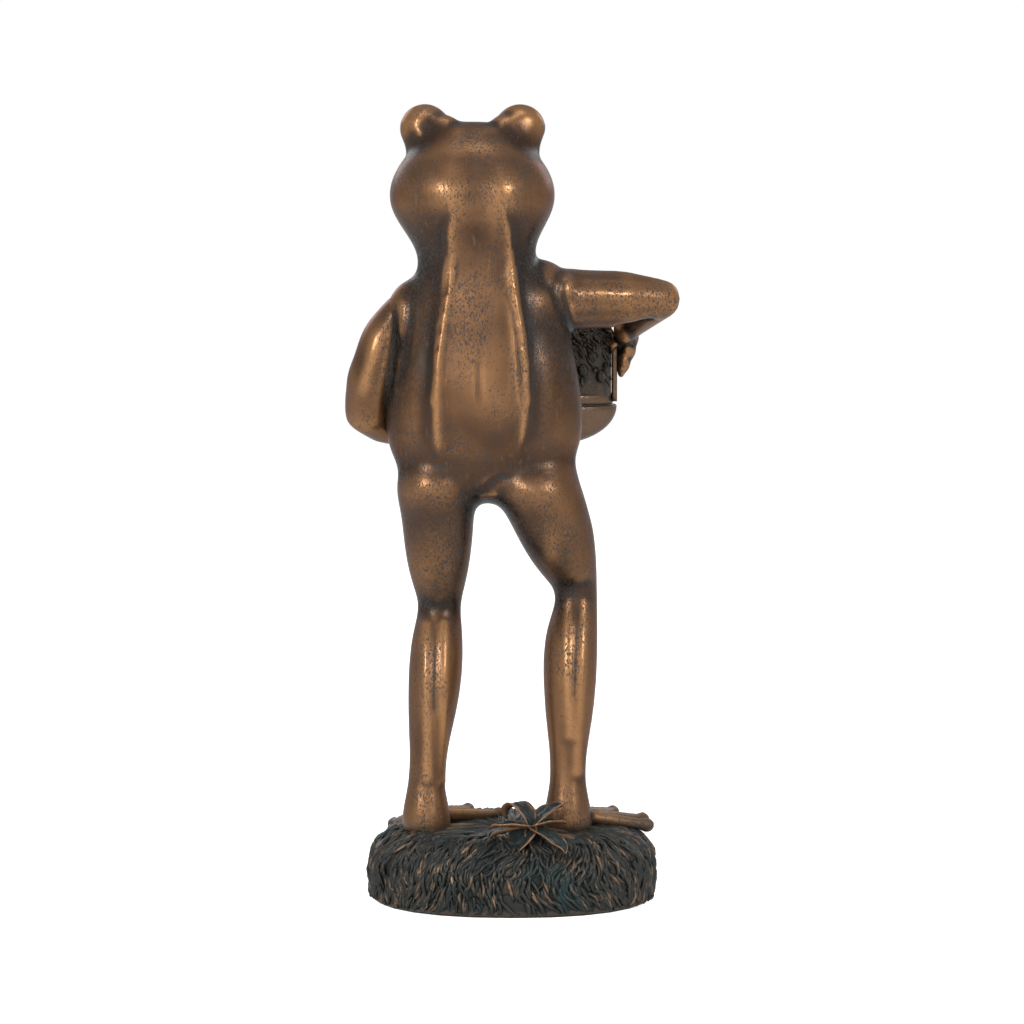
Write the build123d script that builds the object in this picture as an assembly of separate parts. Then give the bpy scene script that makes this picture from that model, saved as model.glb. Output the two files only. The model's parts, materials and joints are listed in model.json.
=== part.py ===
from build123d import *
from math import copysign, cos, pi, radians, sin, sqrt
import os

# Bronze-finish frog figurine: a standing frog that holds a basket of flowers, on a
# grass mound. The frog faces +Y, so its back looks towards -Y, and its right side is +X.
# The origin is on the ground under the middle of the mound. Sizes are in millimetres.

# Mound
MOUND_LENGTH = 109.6
MOUND_DEPTH = 101.0
MOUND_HEIGHT = 26.4
MOUND_SHOULDER = 15.0
MOUND_TUCK = 1.2
MOUND_PLATEAU = 0.68
MOUND_POWER = 2.25
MOUND_TURNS = (26.0, 48.0, 70.0, 90.0)
MOUND_RIM = 10.0
MOUND_RECESS = 9.0
RECESS_DRAFT = 0.33
FELT_INSET = 0.8
FELT_THICKNESS = 0.6

# Grass tufts: broad ribs that spread away from the mound's back as they run down its side
TUFT_COUNT = 22
TUFT_PROUD = 0.5
TUFT_FALL = 1.4
TUFT_LEAN = 10.0
TUFT_STRENGTHS = (1.0, 0.55, 0.85, 0.5, 0.95, 0.7, 0.45)
TUFT_FOOT = 0.3

# Legs: heights above the sole, then places and widths at each level
SOLE_SINK = 1.5
HEEL_RISE = 7.0
ANKLE_RISE = 18.5
CALF_RISE = 60.0
LEFT_KNEE_RISE = 86.0
RIGHT_KNEE_RISE = 91.0
HIP_RISE = 122.5
LEFT_HEEL_X = -32.6
RIGHT_HEEL_X = 21.2
HEEL_Y = -7.5
LEFT_CALF_X = -29.2
RIGHT_CALF_X = 22.1
CALF_Y = -1.5
LEFT_KNEE_X = -27.7
RIGHT_KNEE_X = 24.2
KNEE_Y = 6.0
LEFT_HIP_X = -28.4
RIGHT_HIP_X = 12.6
HIP_Y = 0.0
HEEL_WIDTH = 18.0
ANKLE_WIDTH = 14.2
CALF_WIDTH = 20.4
KNEE_WIDTH = 16.8
LEFT_HIP_WIDTH = 29.0
RIGHT_HIP_WIDTH = 33.0
LEG_DEPTH_RATIO = 1.08
LEG_POWER = 2.05
SOLE_TAPER = 0.9

# Levels between those, as shares of the way up and of the way to the next width
SHIN_UP = 0.58
SHIN_SWELL = 0.56
UNDER_KNEE_UP = 0.62
UNDER_KNEE_TAPER = 0.5
OVER_KNEE_UP = 0.18
OVER_KNEE_SWELL = 0.24
THIGH_UP = 0.55
THIGH_SWELL = 0.68
ROOT_UP = 1.4
ROOT_TAPER = 0.95
INSIDE_UP = 1.75
INSIDE_TAPER = 0.62

# Feet: the toes fan out from the heel, and a turn is in degrees from +Y towards +X
TOE_LENGTH = 41.0
TOE_ROOT_WIDTH = 6.0
TOE_WIDTH = 4.4
TOE_BULGE = 1.8
TOE_SPREAD = 23.0
TOE_STEPS = (-1, 0, 1, 2)
TOE_SHORTENING = 0.055
LEFT_TOE_DROOP = 0.9
RIGHT_TOE_DROOP = 0.2
WEB_THICKNESS = 2.4
WEB_REACH = 0.86
WEB_NOTCH = 0.70
LEFT_FOOT_TURN = 22.0
RIGHT_FOOT_TURN = 26.0

# Body and head: heights above the seat, then widths and depths at each level
SEAT_RISE = 4.5
HAUNCH_RISE = 13.0
BELLY_RISE = 38.0
CHEST_RISE = 62.5
SHOULDER_RISE = 77.5
NECK_RISE = 89.5
CHEEK_RISE = 111.0
CROWN_RISE = 142.4
BODY_POWER = 2.4
BODY_X = -10.6
NECK_X = -13.0
HEAD_X = -15.0
HAUNCH_WIDTH = 67.0
BELLY_WIDTH = 72.8
CHEST_WIDTH = 64.8
SHOULDER_WIDTH = 56.0
NECK_WIDTH = 44.6
HEAD_WIDTH = 61.0
HAUNCH_BACK = 17.0
HAUNCH_FRONT = 20.0
BELLY_BACK = 22.0
BELLY_FRONT = 29.0
CHEST_BACK = 20.0
CHEST_FRONT = 24.0
SHOULDER_BACK = 18.0
SHOULDER_FRONT = 19.0
NECK_BACK = 17.0
NECK_FRONT = 19.0
HEAD_BACK = 24.0
SNOUT_LENGTH = 38.0

# Raised folds down the back, as half gaps from the line between them
FOLD_X = -12.2
FOLD_WIDTH = 4.4
FOLD_PROUD = 0.9
FOLD_GAP_HEAD = 9.5
FOLD_GAP_NECK = 11.0
FOLD_GAP_BELLY = 17.2
FOLD_GAP_END = 15.4
FOLD_SHOULDER_SHARE = 0.35
FOLD_CHEST_SHARE = 0.75
FOLD_END_SHARE = 0.4

# Eyes
EYE_GAP = 35.4
EYE_RISE = 139.4
EYE_Y = 5.0
EYE_WIDTH = 19.2
EYEBALL_WIDTH = 13.0
EYEBALL_PROUD = 1.6
GAZE_OUT = 0.55
GAZE_FORWARD = 0.80
GAZE_UP = 0.05
KNOB_BACK_TURNS = (80.0, 55.0, 30.0, 0.0)
KNOB_FRONT_TURNS = (28.0, 50.0)
EYEBALL_TURNS = (20.0, 45.0, 75.0)

# Basket: an oval bowl with a rim band, a hoop handle along its length, and flowers
BASKET_X = -3.5
BASKET_RISE = 37.0
BELLY_CLEARANCE = 0.3
BASKET_LENGTH = 89.0
BASKET_WIDTH = 40.0
BASKET_DEPTH = 20.0
BASKET_FLOOR = 0.45
BASKET_POWER = 2.4
BASKET_WALL = 3.0
RIM_HEIGHT = 4.4
RIM_INSET = 1.4
HANDLE_WIDTH = 12.0
HANDLE_THICKNESS = 2.0
HANDLE_LEG = 19.0
HANDLE_ARCH = 21.0
HANDLE_SOCKET = 3.0
BED_GAP = 0.5
BED_POWER = 2.8
FLOWER_BED_HEIGHT = 26.0
FLOWER_WIDTH = 17.0
FLOWER_HEIGHT = 3.0
FLOWER_SINK = 5.0
FLOWER_PETALS = 5
FLOWER_NOTCH = 0.62
FLOWER_EYE_WIDTH = 6.0
FLOWER_EYE_RISE = 1.6
FLOWER_EYE_TAPER = 20.0
FLOWER_COLUMNS = 4
FLOWER_SPREAD = 0.8
FLOWER_STAGGER = 7.5
FLOWER_LEAN = 24.0

# Right arm, raised: the shoulder on the body, the elbow from it, the hand on the handle
RIGHT_SHOULDER_RISE = 75.0
RIGHT_SHOULDER_INSET = 3.4
RIGHT_SEAM_OUT = 7.2
RIGHT_SEAM_LEAN = 10.0
RIGHT_ELBOW_OUT = 42.6
RIGHT_ELBOW_FORWARD = 9.0
RIGHT_SHOULDER_ROOT_WIDTH = 25.0
RIGHT_SHOULDER_ARM_WIDTH = 22.8
RIGHT_ARM_WIDTH = 21.6
RIGHT_ELBOW_WIDTH = 15.6
RIGHT_FOREARM_WIDTH = 12.4
RIGHT_WRIST_WIDTH = 8.6
RIGHT_WRIST_RISE = 25.0
RIGHT_PALM_RISE = 19.0
RIGHT_PALM_OUT = 1.4
RIGHT_ARM_SHARES = (0.35, 0.68)
RIGHT_FOREARM_SHARE = 0.45
RIGHT_WRIST_BACK = 0.75

# Left arm, lowered: the shoulder on the body, the elbow from it, the hand under the bowl
LEFT_SHOULDER_RISE = 70.5
LEFT_SHOULDER_INSET = 0.6
LEFT_ARM_BOW = 1.8
LEFT_ELBOW_OUT = 15.4
LEFT_ELBOW_FORWARD = 8.0
LEFT_ELBOW_DROP = 37.5
LEFT_SHOULDER_ARM_WIDTH = 22.0
LEFT_ARM_WIDTH = 24.0
LEFT_ELBOW_WIDTH = 22.5
LEFT_FOREARM_WIDTH = 18.6
LEFT_WRIST_WIDTH = 11.0
LEFT_PALM_OFFSET = 20.0
LEFT_PALM_BACK = 0.12
LEFT_PALM_TAPER = 0.8
LEFT_ARM_SHARE = 0.45
LEFT_FOREARM_SHARE = 0.5
LEFT_WRIST_SHARE = 0.72
SHOULDER_Y = 2.5

# Hands
PALM_WIDTH = 10.0
FINGER_WIDTH = 3.6
FINGER_PITCH = 3.9
FINGER_LENGTH = 13.0
FINGER_STEPS = (-1, 0, 1)
FINGER_TAPER = 1.28
FINGER_ROOT_PITCH = 0.7
THUMB_SHARE = 1.1
GRIP_SHARE = 0.78
GRIP_SHORTENING = 0.1
LEFT_HAND_TURN = 28.0
FINGER_SPREAD = 24.0
HAND_CLEARANCE = 0.1

# Leaf spray on the back of the mound
SPRAY_X = 5.0
SPRAY_Y = -33.0
SPRAY_RISE = 3.6
LEAF_LENGTH = 16.0
LEAF_WIDTH = 6.6
LEAF_THICKNESS = 1.6
LEAF_OUTLINE = ((0.0, 0.0), (0.16, 0.34), (0.42, 0.5), (0.72, 0.34), (1.0, 0.0))
SPRAY_STEM_SHARE = 0.7

# Each leaf's turn and pitch in degrees, and its shares of the leaf's length and width
LEAVES = (
    (118.0, 48.0, 0.85, 1.0),
    (38.0, 36.0, 1.05, 0.85),
    (182.0, 6.0, 0.9, 0.9),
    (238.0, -40.0, 1.0, 1.25),
    (318.0, -26.0, 1.15, 1.0),
)

# Studs with their washers and nuts, which hold the legs to the mound
STUD_DIAMETER = 4.0
STUD_REACH = 40.0
STUD_END = 1.5
WASHER_WIDTH = 9.0
WASHER_THICKNESS = 0.8
NUT_WIDTH = 7.0
NUT_HEIGHT = 3.2

# Square keys glued across the joints between the castings
KEY_WIDTH = 4.0
HIP_KEY_LENGTH = 24.0
RIGHT_KEY_LENGTH = 20.0
LEFT_KEY_LENGTH = 14.0
LEFT_KEY_DROP = 4.0
BASKET_KEY_LENGTH = 14.0
GLUE_GAP = 0.1

# Levels and places that follow from the sizes above
MOUND_TOP = FELT_THICKNESS + MOUND_HEIGHT
SOLE_Z = MOUND_TOP - SOLE_SINK
HIP_Z = SOLE_Z + HIP_RISE
SEAT_Z = HIP_Z + SEAT_RISE
RECESS_Z = FELT_THICKNESS + MOUND_RECESS
RIM_Z = SEAT_Z + BASKET_RISE
LIP_Z = RIM_Z - RIM_HEIGHT
BOWL_Z = RIM_Z - BASKET_DEPTH
BASKET_Y = HIP_Y + BELLY_FRONT + BELLY_CLEARANCE + BASKET_WIDTH / 2
HANDLE_X = BASKET_X + BASKET_LENGTH / 2
ALL_OVER = 1000.0
BOTTOM = (Align.CENTER, Align.CENTER, Align.MIN)
DOME_TURNS = (32.0, 60.0, 82.0)
TIP_TURNS = (36.0, 64.0)
BOWL_TURNS = (0.0, 16.0, 32.0, 48.0, 66.0, 90.0)
BED_TURNS = (0.0, 16.0, 40.0, 64.0)
DIGIT_SIDES = 8
DIGIT_START = 0.1
LIMB_SIDES = 14
LIMB_STEPS = 2
RING_POINTS = 14
RING_SIDES = 26


def between(a, b, share):
    """The number or point that lies a share of the way from a to b."""
    if isinstance(a, tuple):
        return tuple(between(p, q, share) for p, q in zip(a, b))
    return a + (b - a) * share


def moved(point, x=0.0, y=0.0, z=0.0):
    """A point moved by a step along each axis."""
    return (point[0] + x, point[1] + y, point[2] + z)


def oval_point(centre, half_width, half_depth, power, turn):
    """Point of a level rounded oval, at a turn from its back."""
    across = sin(turn)
    along = -cos(turn)
    x = half_width * copysign(abs(across) ** (2 / power), across)
    y = half_depth * copysign(abs(along) ** (2 / power), along)
    return moved(centre, x, y)


def oval_points(centre, half_width, front, back, power, count):
    """Points of a level rounded oval whose front and back have their own depths."""
    points = []
    for i in range(count):
        turn = 2 * pi * i / count
        half_depth = front if cos(turn) < 0 else back
        points.append(oval_point(centre, half_width, half_depth, power, turn))
    return points


def ring(centre, half_width, front, back, power):
    """Smooth level section of the body or a leg."""
    points = oval_points(centre, half_width, front, back, power, RING_POINTS)
    return Face(Wire([Spline(points, periodic=True)]))


def facet_ring(centre, half_width, half_depth, power):
    """Level section with flat sides, for the mound and the basket."""
    points = oval_points(centre, half_width, half_depth, half_depth, power, RING_SIDES)
    return make_face(Polyline(*points, close=True))


def side_of(direction):
    """A direction square to another one, upright where that is possible."""
    up = Vector(0, 0, 1) if abs(direction.normalized().Z) < 0.8 else Vector(0, 1, 0)
    flat = direction.normalized()
    return (up - flat * up.dot(flat)).normalized()


def turned(start, direction, stations):
    """Flat-sided turned shape along a line, from its reaches and radii."""
    plane = Plane(start, x_dir=side_of(direction), z_dir=direction)
    sections = [plane.offset(reach) * RegularPolygon(radius, LIMB_SIDES) for reach, radius in stations]
    return loft(sections, ruled=True)


def limb(points, widths, flat_start=False, flat_end=False):
    """Round limb through points, with a width at each of them; its ends are round or flat."""
    line = Spline([Vector(*p) for p in points])
    shares = [line.param_at_point(Vector(*point)) for point in points]
    spots = []
    for i in range(len(points) - 1):
        for step in range(LIMB_STEPS):
            share = between(shares[i], shares[i + 1], step / LIMB_STEPS)
            radius = between(widths[i], widths[i + 1], step / LIMB_STEPS) / 2
            spots.append((line @ share, line % share, radius))
    spots.append((line @ 1, line % 1, widths[-1] / 2))
    head, tail = spots[0], spots[-1]
    for turn in () if flat_start else TIP_TURNS:
        behind = head[0] - head[1] * head[2] * sin(radians(turn))
        spots.insert(0, (behind, head[1], head[2] * cos(radians(turn))))
    for turn in () if flat_end else TIP_TURNS:
        ahead = tail[0] + tail[1] * tail[2] * sin(radians(turn))
        spots.append((ahead, tail[1], tail[2] * cos(radians(turn))))
    across = side_of(head[1])
    sections = []
    for centre, direction, radius in spots:
        across = (across - direction * across.dot(direction)).normalized()
        sections.append(Plane(centre, x_dir=across, z_dir=direction) * RegularPolygon(radius, LIMB_SIDES))
    return loft(sections, ruled=True)


def digit(root, tip, root_width, width, bulge=0.0):
    """Finger or toe: a tapered shank with a blunt round tip that may bulge past the shank."""
    start = Vector(*root)
    run = Vector(*tip) - start
    ball = (width + bulge) / 2
    stations = (
        (0.0, root_width / 2),
        (run.length - ball, width / 2),
        (run.length, ball),
        (run.length + ball * sin(radians(TIP_TURNS[0])), ball * cos(radians(TIP_TURNS[0]))),
        (run.length + ball * sin(radians(TIP_TURNS[1])), ball * cos(radians(TIP_TURNS[1]))),
    )
    plane = Plane(start, x_dir=side_of(run), z_dir=run)
    sections = [plane.offset(reach) * RegularPolygon(radius, DIGIT_SIDES) for reach, radius in stations]
    return loft(sections, ruled=True)


def beyond(origin, direction):
    """Everything on the far side of a plane, as a large block."""
    return Plane(origin, z_dir=direction) * Box(ALL_OVER, ALL_OVER, ALL_OVER, align=BOTTOM)


def key(middle, direction, length, grow=0.0):
    """Square bar with its middle at a point, or its socket, grown by the glue gap."""
    width = KEY_WIDTH + 2 * grow
    return Plane(middle, z_dir=direction) * Box(width, width, length + 2 * grow)


# Mound


def mound_level(share, z):
    """Level oval of the mound at a share of its full outline."""
    half_depth = MOUND_DEPTH / 2 * share
    return facet_ring((0, 0, z), MOUND_LENGTH / 2 * share, half_depth, MOUND_POWER)


def tufted_level(share, z, relief):
    """Level outline of the mound, with its tufts out and the gaps between them in."""
    climb = (z - FELT_THICKNESS) / MOUND_HEIGHT
    points = []
    for i in range(2 * TUFT_COUNT):
        turn = pi * i / TUFT_COUNT
        turn += radians(TUFT_LEAN) * (1 - 2 * climb) * sin(turn)
        step = -TUFT_FALL if i % 2 else TUFT_PROUD
        step *= relief * TUFT_STRENGTHS[i // 2 % len(TUFT_STRENGTHS)]
        half_width = MOUND_LENGTH / 2 * share + step
        half_depth = MOUND_DEPTH / 2 * share + step
        points.append(oval_point((0, 0, z), half_width, half_depth, MOUND_POWER, turn))
    return make_face(Polyline(*points, close=True))


def mound_form():
    """The mound's outside: a foot that tucks in, a full tufted side, and a rounded shoulder."""
    shoulder_z = MOUND_TOP - MOUND_SHOULDER
    tuck = 1 - 2 * MOUND_TUCK / MOUND_LENGTH
    sections = [
        tufted_level(tuck, FELT_THICKNESS, 0.0),
        tufted_level(1.0, between(FELT_THICKNESS, shoulder_z, TUFT_FOOT), TUFT_FOOT),
        tufted_level(1.0, shoulder_z, 1.0),
    ]
    for turn in MOUND_TURNS:
        share = between(MOUND_PLATEAU, 1.0, cos(radians(turn)))
        sections.append(tufted_level(share, shoulder_z + MOUND_SHOULDER * sin(radians(turn)), 1.0))
    return loft(sections, ruled=True)


def ground_at(x, y):
    """Height of the mound's skin over a place."""
    share = abs(2 * x / MOUND_LENGTH) ** MOUND_POWER + abs(2 * y / MOUND_DEPTH) ** MOUND_POWER
    share = min(share ** (1 / MOUND_POWER), 1.0)
    past = max(share - MOUND_PLATEAU, 0) / (1 - MOUND_PLATEAU)
    return MOUND_TOP - MOUND_SHOULDER * (1 - sqrt(1 - past**2))


def mound_recess():
    """The hollow under the mound, inside the rim that it stands on."""
    inner = 1 - 2 * MOUND_RIM / MOUND_DEPTH
    roof = inner - 2 * MOUND_RECESS * RECESS_DRAFT / MOUND_DEPTH
    return loft([mound_level(inner, FELT_THICKNESS - 1), mound_level(roof, RECESS_Z)], ruled=True)


def felt_base():
    """Sheet of felt glued under the rim, which closes the recess."""
    share = 1 - 2 * (MOUND_TUCK + FELT_INSET) / MOUND_LENGTH
    return extrude(mound_level(share, 0), FELT_THICKNESS)


def leaf(turn, pitch, length, width):
    """One pointed leaf that leaves the spray's heart at a turn and a pitch."""
    half = [(length * along, width * across) for along, across in LEAF_OUTLINE]
    mirror = [(x, -y) for x, y in reversed(half[1:-1])]
    blade = extrude(make_face(Polyline(*half, *mirror, close=True)), LEAF_THICKNESS)
    return Pos(SPRAY_X, SPRAY_Y, MOUND_TOP + SPRAY_RISE) * Rot(0, 0, turn) * Rot(0, -pitch, 0) * blade


def leaf_spray(ground):
    """Five leaves on a short stem: two stand up, and three hang over the mound's back."""
    foot = (SPRAY_X, SPRAY_Y, MOUND_TOP - MOUND_SHOULDER / 2)
    heart = (SPRAY_X, SPRAY_Y, MOUND_TOP + SPRAY_RISE)
    spray = digit(foot, heart, 2 * LEAF_WIDTH, LEAF_WIDTH * SPRAY_STEM_SHARE)
    for turn, pitch, length_share, width_share in LEAVES:
        spray += leaf(turn, pitch, LEAF_LENGTH * length_share, LEAF_WIDTH * width_share)
    return spray - ground


# Legs


def leg_levels(side):
    """Centre and width of each level of a leg, from the sole up into the torso."""
    left = side == "left"
    heel = (LEFT_HEEL_X if left else RIGHT_HEEL_X, HEEL_Y, SOLE_Z)
    ankle = moved(heel, z=ANKLE_RISE)
    calf = (LEFT_CALF_X if left else RIGHT_CALF_X, CALF_Y, SOLE_Z + CALF_RISE)
    knee_rise = LEFT_KNEE_RISE if left else RIGHT_KNEE_RISE
    knee = (LEFT_KNEE_X if left else RIGHT_KNEE_X, KNEE_Y, SOLE_Z + knee_rise)
    hip = (LEFT_HIP_X if left else RIGHT_HIP_X, HIP_Y, HIP_Z)
    hip_width = LEFT_HIP_WIDTH if left else RIGHT_HIP_WIDTH
    return {
        "sole": (heel, HEEL_WIDTH * SOLE_TAPER),
        "heel": (moved(heel, z=HEEL_RISE), HEEL_WIDTH),
        "ankle": (ankle, ANKLE_WIDTH),
        "shin": (between(ankle, calf, SHIN_UP), between(ANKLE_WIDTH, CALF_WIDTH, SHIN_SWELL)),
        "calf": (calf, CALF_WIDTH),
        "under_knee": (
            between(calf, knee, UNDER_KNEE_UP),
            between(CALF_WIDTH, KNEE_WIDTH, UNDER_KNEE_TAPER),
        ),
        "knee": (knee, KNEE_WIDTH),
        "over_knee": (between(knee, hip, OVER_KNEE_UP), between(KNEE_WIDTH, hip_width, OVER_KNEE_SWELL)),
        "thigh": (between(knee, hip, THIGH_UP), between(KNEE_WIDTH, hip_width, THIGH_SWELL)),
        "hip": (hip, hip_width),
        "root": (between(knee, hip, ROOT_UP), hip_width * ROOT_TAPER),
        "inside": (between(knee, hip, INSIDE_UP), hip_width * INSIDE_TAPER),
    }


def leg_form(side):
    """The leg without its foot, from the sole to inside the torso."""
    sections = []
    for centre, width in leg_levels(side).values():
        depth = width / 2 * LEG_DEPTH_RATIO
        sections.append(ring(centre, width / 2, depth, depth, LEG_POWER))
    return loft(sections)


def toe_tips(side):
    """Middles of the balls of a foot's toes, from the inner toe to the outer one."""
    left = side == "left"
    heel_x = LEFT_HEEL_X if left else RIGHT_HEEL_X
    droop = LEFT_TOE_DROOP if left else RIGHT_TOE_DROOP
    tips = []
    for step in TOE_STEPS:
        fan = TOE_SPREAD * step
        heading = radians(LEFT_FOOT_TURN - fan if left else RIGHT_FOOT_TURN + fan)
        reach = TOE_LENGTH * (1 - TOE_SHORTENING * step**2)
        x = heel_x + reach * sin(heading)
        y = HEEL_Y + reach * cos(heading)
        z = between(MOUND_TOP, ground_at(x, y), droop) + TOE_WIDTH / 2 - SOLE_SINK
        tips.append((x, y, z))
    return tips


def foot_pieces(side):
    """The web and the toes of a foot, seated a little into the mound."""
    heel_x = LEFT_HEEL_X if side == "left" else RIGHT_HEEL_X
    root = (heel_x, HEEL_Y, SOLE_Z + HEEL_RISE)
    tips = toe_tips(side)
    corners = [(heel_x, HEEL_Y)]
    for i, tip in enumerate(tips):
        corners.append(between(root, tip, WEB_REACH)[:2])
        if i + 1 < len(tips):
            notch = between(root, between(tip, tips[i + 1], 0.5), WEB_NOTCH)
            corners.append(notch[:2])
    web = extrude(make_face(Polyline(*corners, close=True)), WEB_THICKNESS)
    pieces = [Pos(0, 0, SOLE_Z + SOLE_SINK - WEB_THICKNESS / 2) * web]
    for tip in tips:
        pieces.append(digit(between(root, tip, DIGIT_START), tip, TOE_ROOT_WIDTH, TOE_WIDTH, TOE_BULGE))
    return pieces


def whole_leg(side):
    """A leg with its foot, from under the sole to inside the torso."""
    leg = leg_form(side)
    for piece in foot_pieces(side):
        leg += piece
    return leg


def stud(side, grow=0.0):
    """Threaded stud from under the mound up into the leg, or its bore."""
    end_z = RECESS_Z - WASHER_THICKNESS - NUT_HEIGHT - STUD_END
    heel_x = LEFT_HEEL_X if side == "left" else RIGHT_HEEL_X
    height = SOLE_Z + STUD_REACH + grow - end_z
    return Pos(heel_x, HEEL_Y, end_z) * Cylinder(STUD_DIAMETER / 2 + grow, height, align=BOTTOM)


def stud_washers():
    """Square plate washers under the roof of the recess."""
    plate = Rectangle(WASHER_WIDTH, WASHER_WIDTH) - Circle(STUD_DIAMETER / 2 + GLUE_GAP)
    washer = extrude(plate, WASHER_THICKNESS)
    z = RECESS_Z - WASHER_THICKNESS
    return Compound([Pos(x, HEEL_Y, z) * washer for x in (LEFT_HEEL_X, RIGHT_HEEL_X)])


def stud_nuts():
    """Hexagon nuts under the washers."""
    hexagon = RegularPolygon(NUT_WIDTH / sqrt(3), 6) - Circle(STUD_DIAMETER / 2 + GLUE_GAP)
    nut = extrude(hexagon, NUT_HEIGHT)
    z = RECESS_Z - WASHER_THICKNESS - NUT_HEIGHT
    return Compound([Pos(x, HEEL_Y, z) * nut for x in (LEFT_HEEL_X, RIGHT_HEEL_X)])


def hip_key(side, grow=0.0):
    """Key that stands in the saw cut between a thigh and the torso."""
    hip = leg_levels(side)["hip"][0]
    return key(hip, (0, 0, 1), HIP_KEY_LENGTH, grow)


# Torso and head


def body_form():
    """The torso and head as one smooth form."""
    levels = (
        (BODY_X, HAUNCH_RISE, HAUNCH_WIDTH, HAUNCH_FRONT, HAUNCH_BACK),
        (BODY_X, BELLY_RISE, BELLY_WIDTH, BELLY_FRONT, BELLY_BACK),
        (BODY_X, CHEST_RISE, CHEST_WIDTH, CHEST_FRONT, CHEST_BACK),
        (BODY_X, SHOULDER_RISE, SHOULDER_WIDTH, SHOULDER_FRONT, SHOULDER_BACK),
        (NECK_X, NECK_RISE, NECK_WIDTH, NECK_FRONT, NECK_BACK),
        (HEAD_X, CHEEK_RISE, HEAD_WIDTH, SNOUT_LENGTH, HEAD_BACK),
    )
    spots = []
    for turn in reversed(DOME_TURNS):
        spots.append((levels[0], -HAUNCH_RISE * sin(radians(turn)), cos(radians(turn))))
    spots += [(level, 0.0, 1.0) for level in levels]
    for turn in DOME_TURNS:
        spots.append((levels[-1], (CROWN_RISE - CHEEK_RISE) * sin(radians(turn)), cos(radians(turn))))
    sections = []
    for (x, rise, width, front, back), step, share in spots:
        centre = (x, HIP_Y, SEAT_Z + rise + step)
        sections.append(ring(centre, width / 2 * share, front * share, back * share, BODY_POWER))
    return loft(sections)


def eye(side):
    """Eye knob with its ball, which looks forward and outward."""
    sign = -1 if side == "left" else 1
    knob = EYE_WIDTH / 2
    ball = EYEBALL_WIDTH / 2
    middle = knob - ball + EYEBALL_PROUD
    stations = [(-knob * sin(radians(turn)), knob * cos(radians(turn))) for turn in KNOB_BACK_TURNS]
    stations += [(knob * sin(radians(turn)), knob * cos(radians(turn))) for turn in KNOB_FRONT_TURNS]
    stations += [(middle + ball * sin(radians(turn)), ball * cos(radians(turn))) for turn in EYEBALL_TURNS]
    centre = Vector(HEAD_X + sign * EYE_GAP / 2, HIP_Y + EYE_Y, SEAT_Z + EYE_RISE)
    return turned(centre, Vector(sign * GAZE_OUT, GAZE_FORWARD, GAZE_UP), stations)


def fold(body, sign):
    """Raised fold down one side of the back, laid on the body's own surface."""
    levels = (
        (CHEEK_RISE, FOLD_GAP_HEAD, -FOLD_WIDTH),
        (NECK_RISE, FOLD_GAP_NECK, FOLD_PROUD),
        (SHOULDER_RISE, between(FOLD_GAP_NECK, FOLD_GAP_BELLY, FOLD_SHOULDER_SHARE), FOLD_PROUD),
        (CHEST_RISE, between(FOLD_GAP_NECK, FOLD_GAP_BELLY, FOLD_CHEST_SHARE), FOLD_PROUD),
        (BELLY_RISE, FOLD_GAP_BELLY, FOLD_PROUD),
        (between(HAUNCH_RISE, BELLY_RISE, FOLD_END_SHARE), FOLD_GAP_END, -FOLD_WIDTH / 2),
    )
    points = []
    for rise, gap, proud in levels:
        x = FOLD_X + sign * gap
        sight = Axis((x, -ALL_OVER, SEAT_Z + rise), (0, 1, 0))
        skin = min(point.Y for point, _ in body.find_intersection_points(sight))
        points.append((x, skin + FOLD_WIDTH / 2 - proud, SEAT_Z + rise))
    sections = []
    for i, point in enumerate(points):
        run = Vector(*points[min(i + 1, len(points) - 1)]) - Vector(*points[max(i - 1, 0)])
        plane = Plane(point, x_dir=side_of(run), z_dir=run)
        sections.append(plane * RegularPolygon(FOLD_WIDTH / 2, DIGIT_SIDES))
    return loft(sections, ruled=True)


# Arms


def right_shoulder():
    """Middle of the raised arm's shoulder."""
    x = BODY_X + SHOULDER_WIDTH / 2 - RIGHT_SHOULDER_INSET
    return (x, SHOULDER_Y, SEAT_Z + RIGHT_SHOULDER_RISE)


def right_seam():
    """Middle and direction of the joint between the torso and the raised arm."""
    lean = radians(RIGHT_SEAM_LEAN)
    return moved(right_shoulder(), x=RIGHT_SEAM_OUT), (cos(lean), 0, sin(lean))


def right_wrist():
    """Middle of the raised arm's wrist, behind the handle and above the palm."""
    y = BASKET_Y - HANDLE_WIDTH * RIGHT_WRIST_BACK
    return (HANDLE_X + RIGHT_WRIST_WIDTH / 2, y, RIM_Z + RIGHT_WRIST_RISE)


def right_arm_form():
    """Raised arm: out to the elbow, then forward and down to the handle."""
    shoulder = right_shoulder()
    elbow = moved(shoulder, x=RIGHT_ELBOW_OUT, y=RIGHT_ELBOW_FORWARD)
    wrist = right_wrist()
    upper = limb(
        [shoulder, *[between(shoulder, elbow, share) for share in RIGHT_ARM_SHARES], elbow],
        [RIGHT_SHOULDER_ROOT_WIDTH, RIGHT_SHOULDER_ARM_WIDTH, RIGHT_ARM_WIDTH, RIGHT_ELBOW_WIDTH],
        flat_start=True,
    )
    fore = limb(
        [elbow, between(elbow, wrist, RIGHT_FOREARM_SHARE), wrist],
        [RIGHT_ELBOW_WIDTH, RIGHT_FOREARM_WIDTH, RIGHT_WRIST_WIDTH],
        flat_start=True,
    )
    return upper + fore


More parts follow.
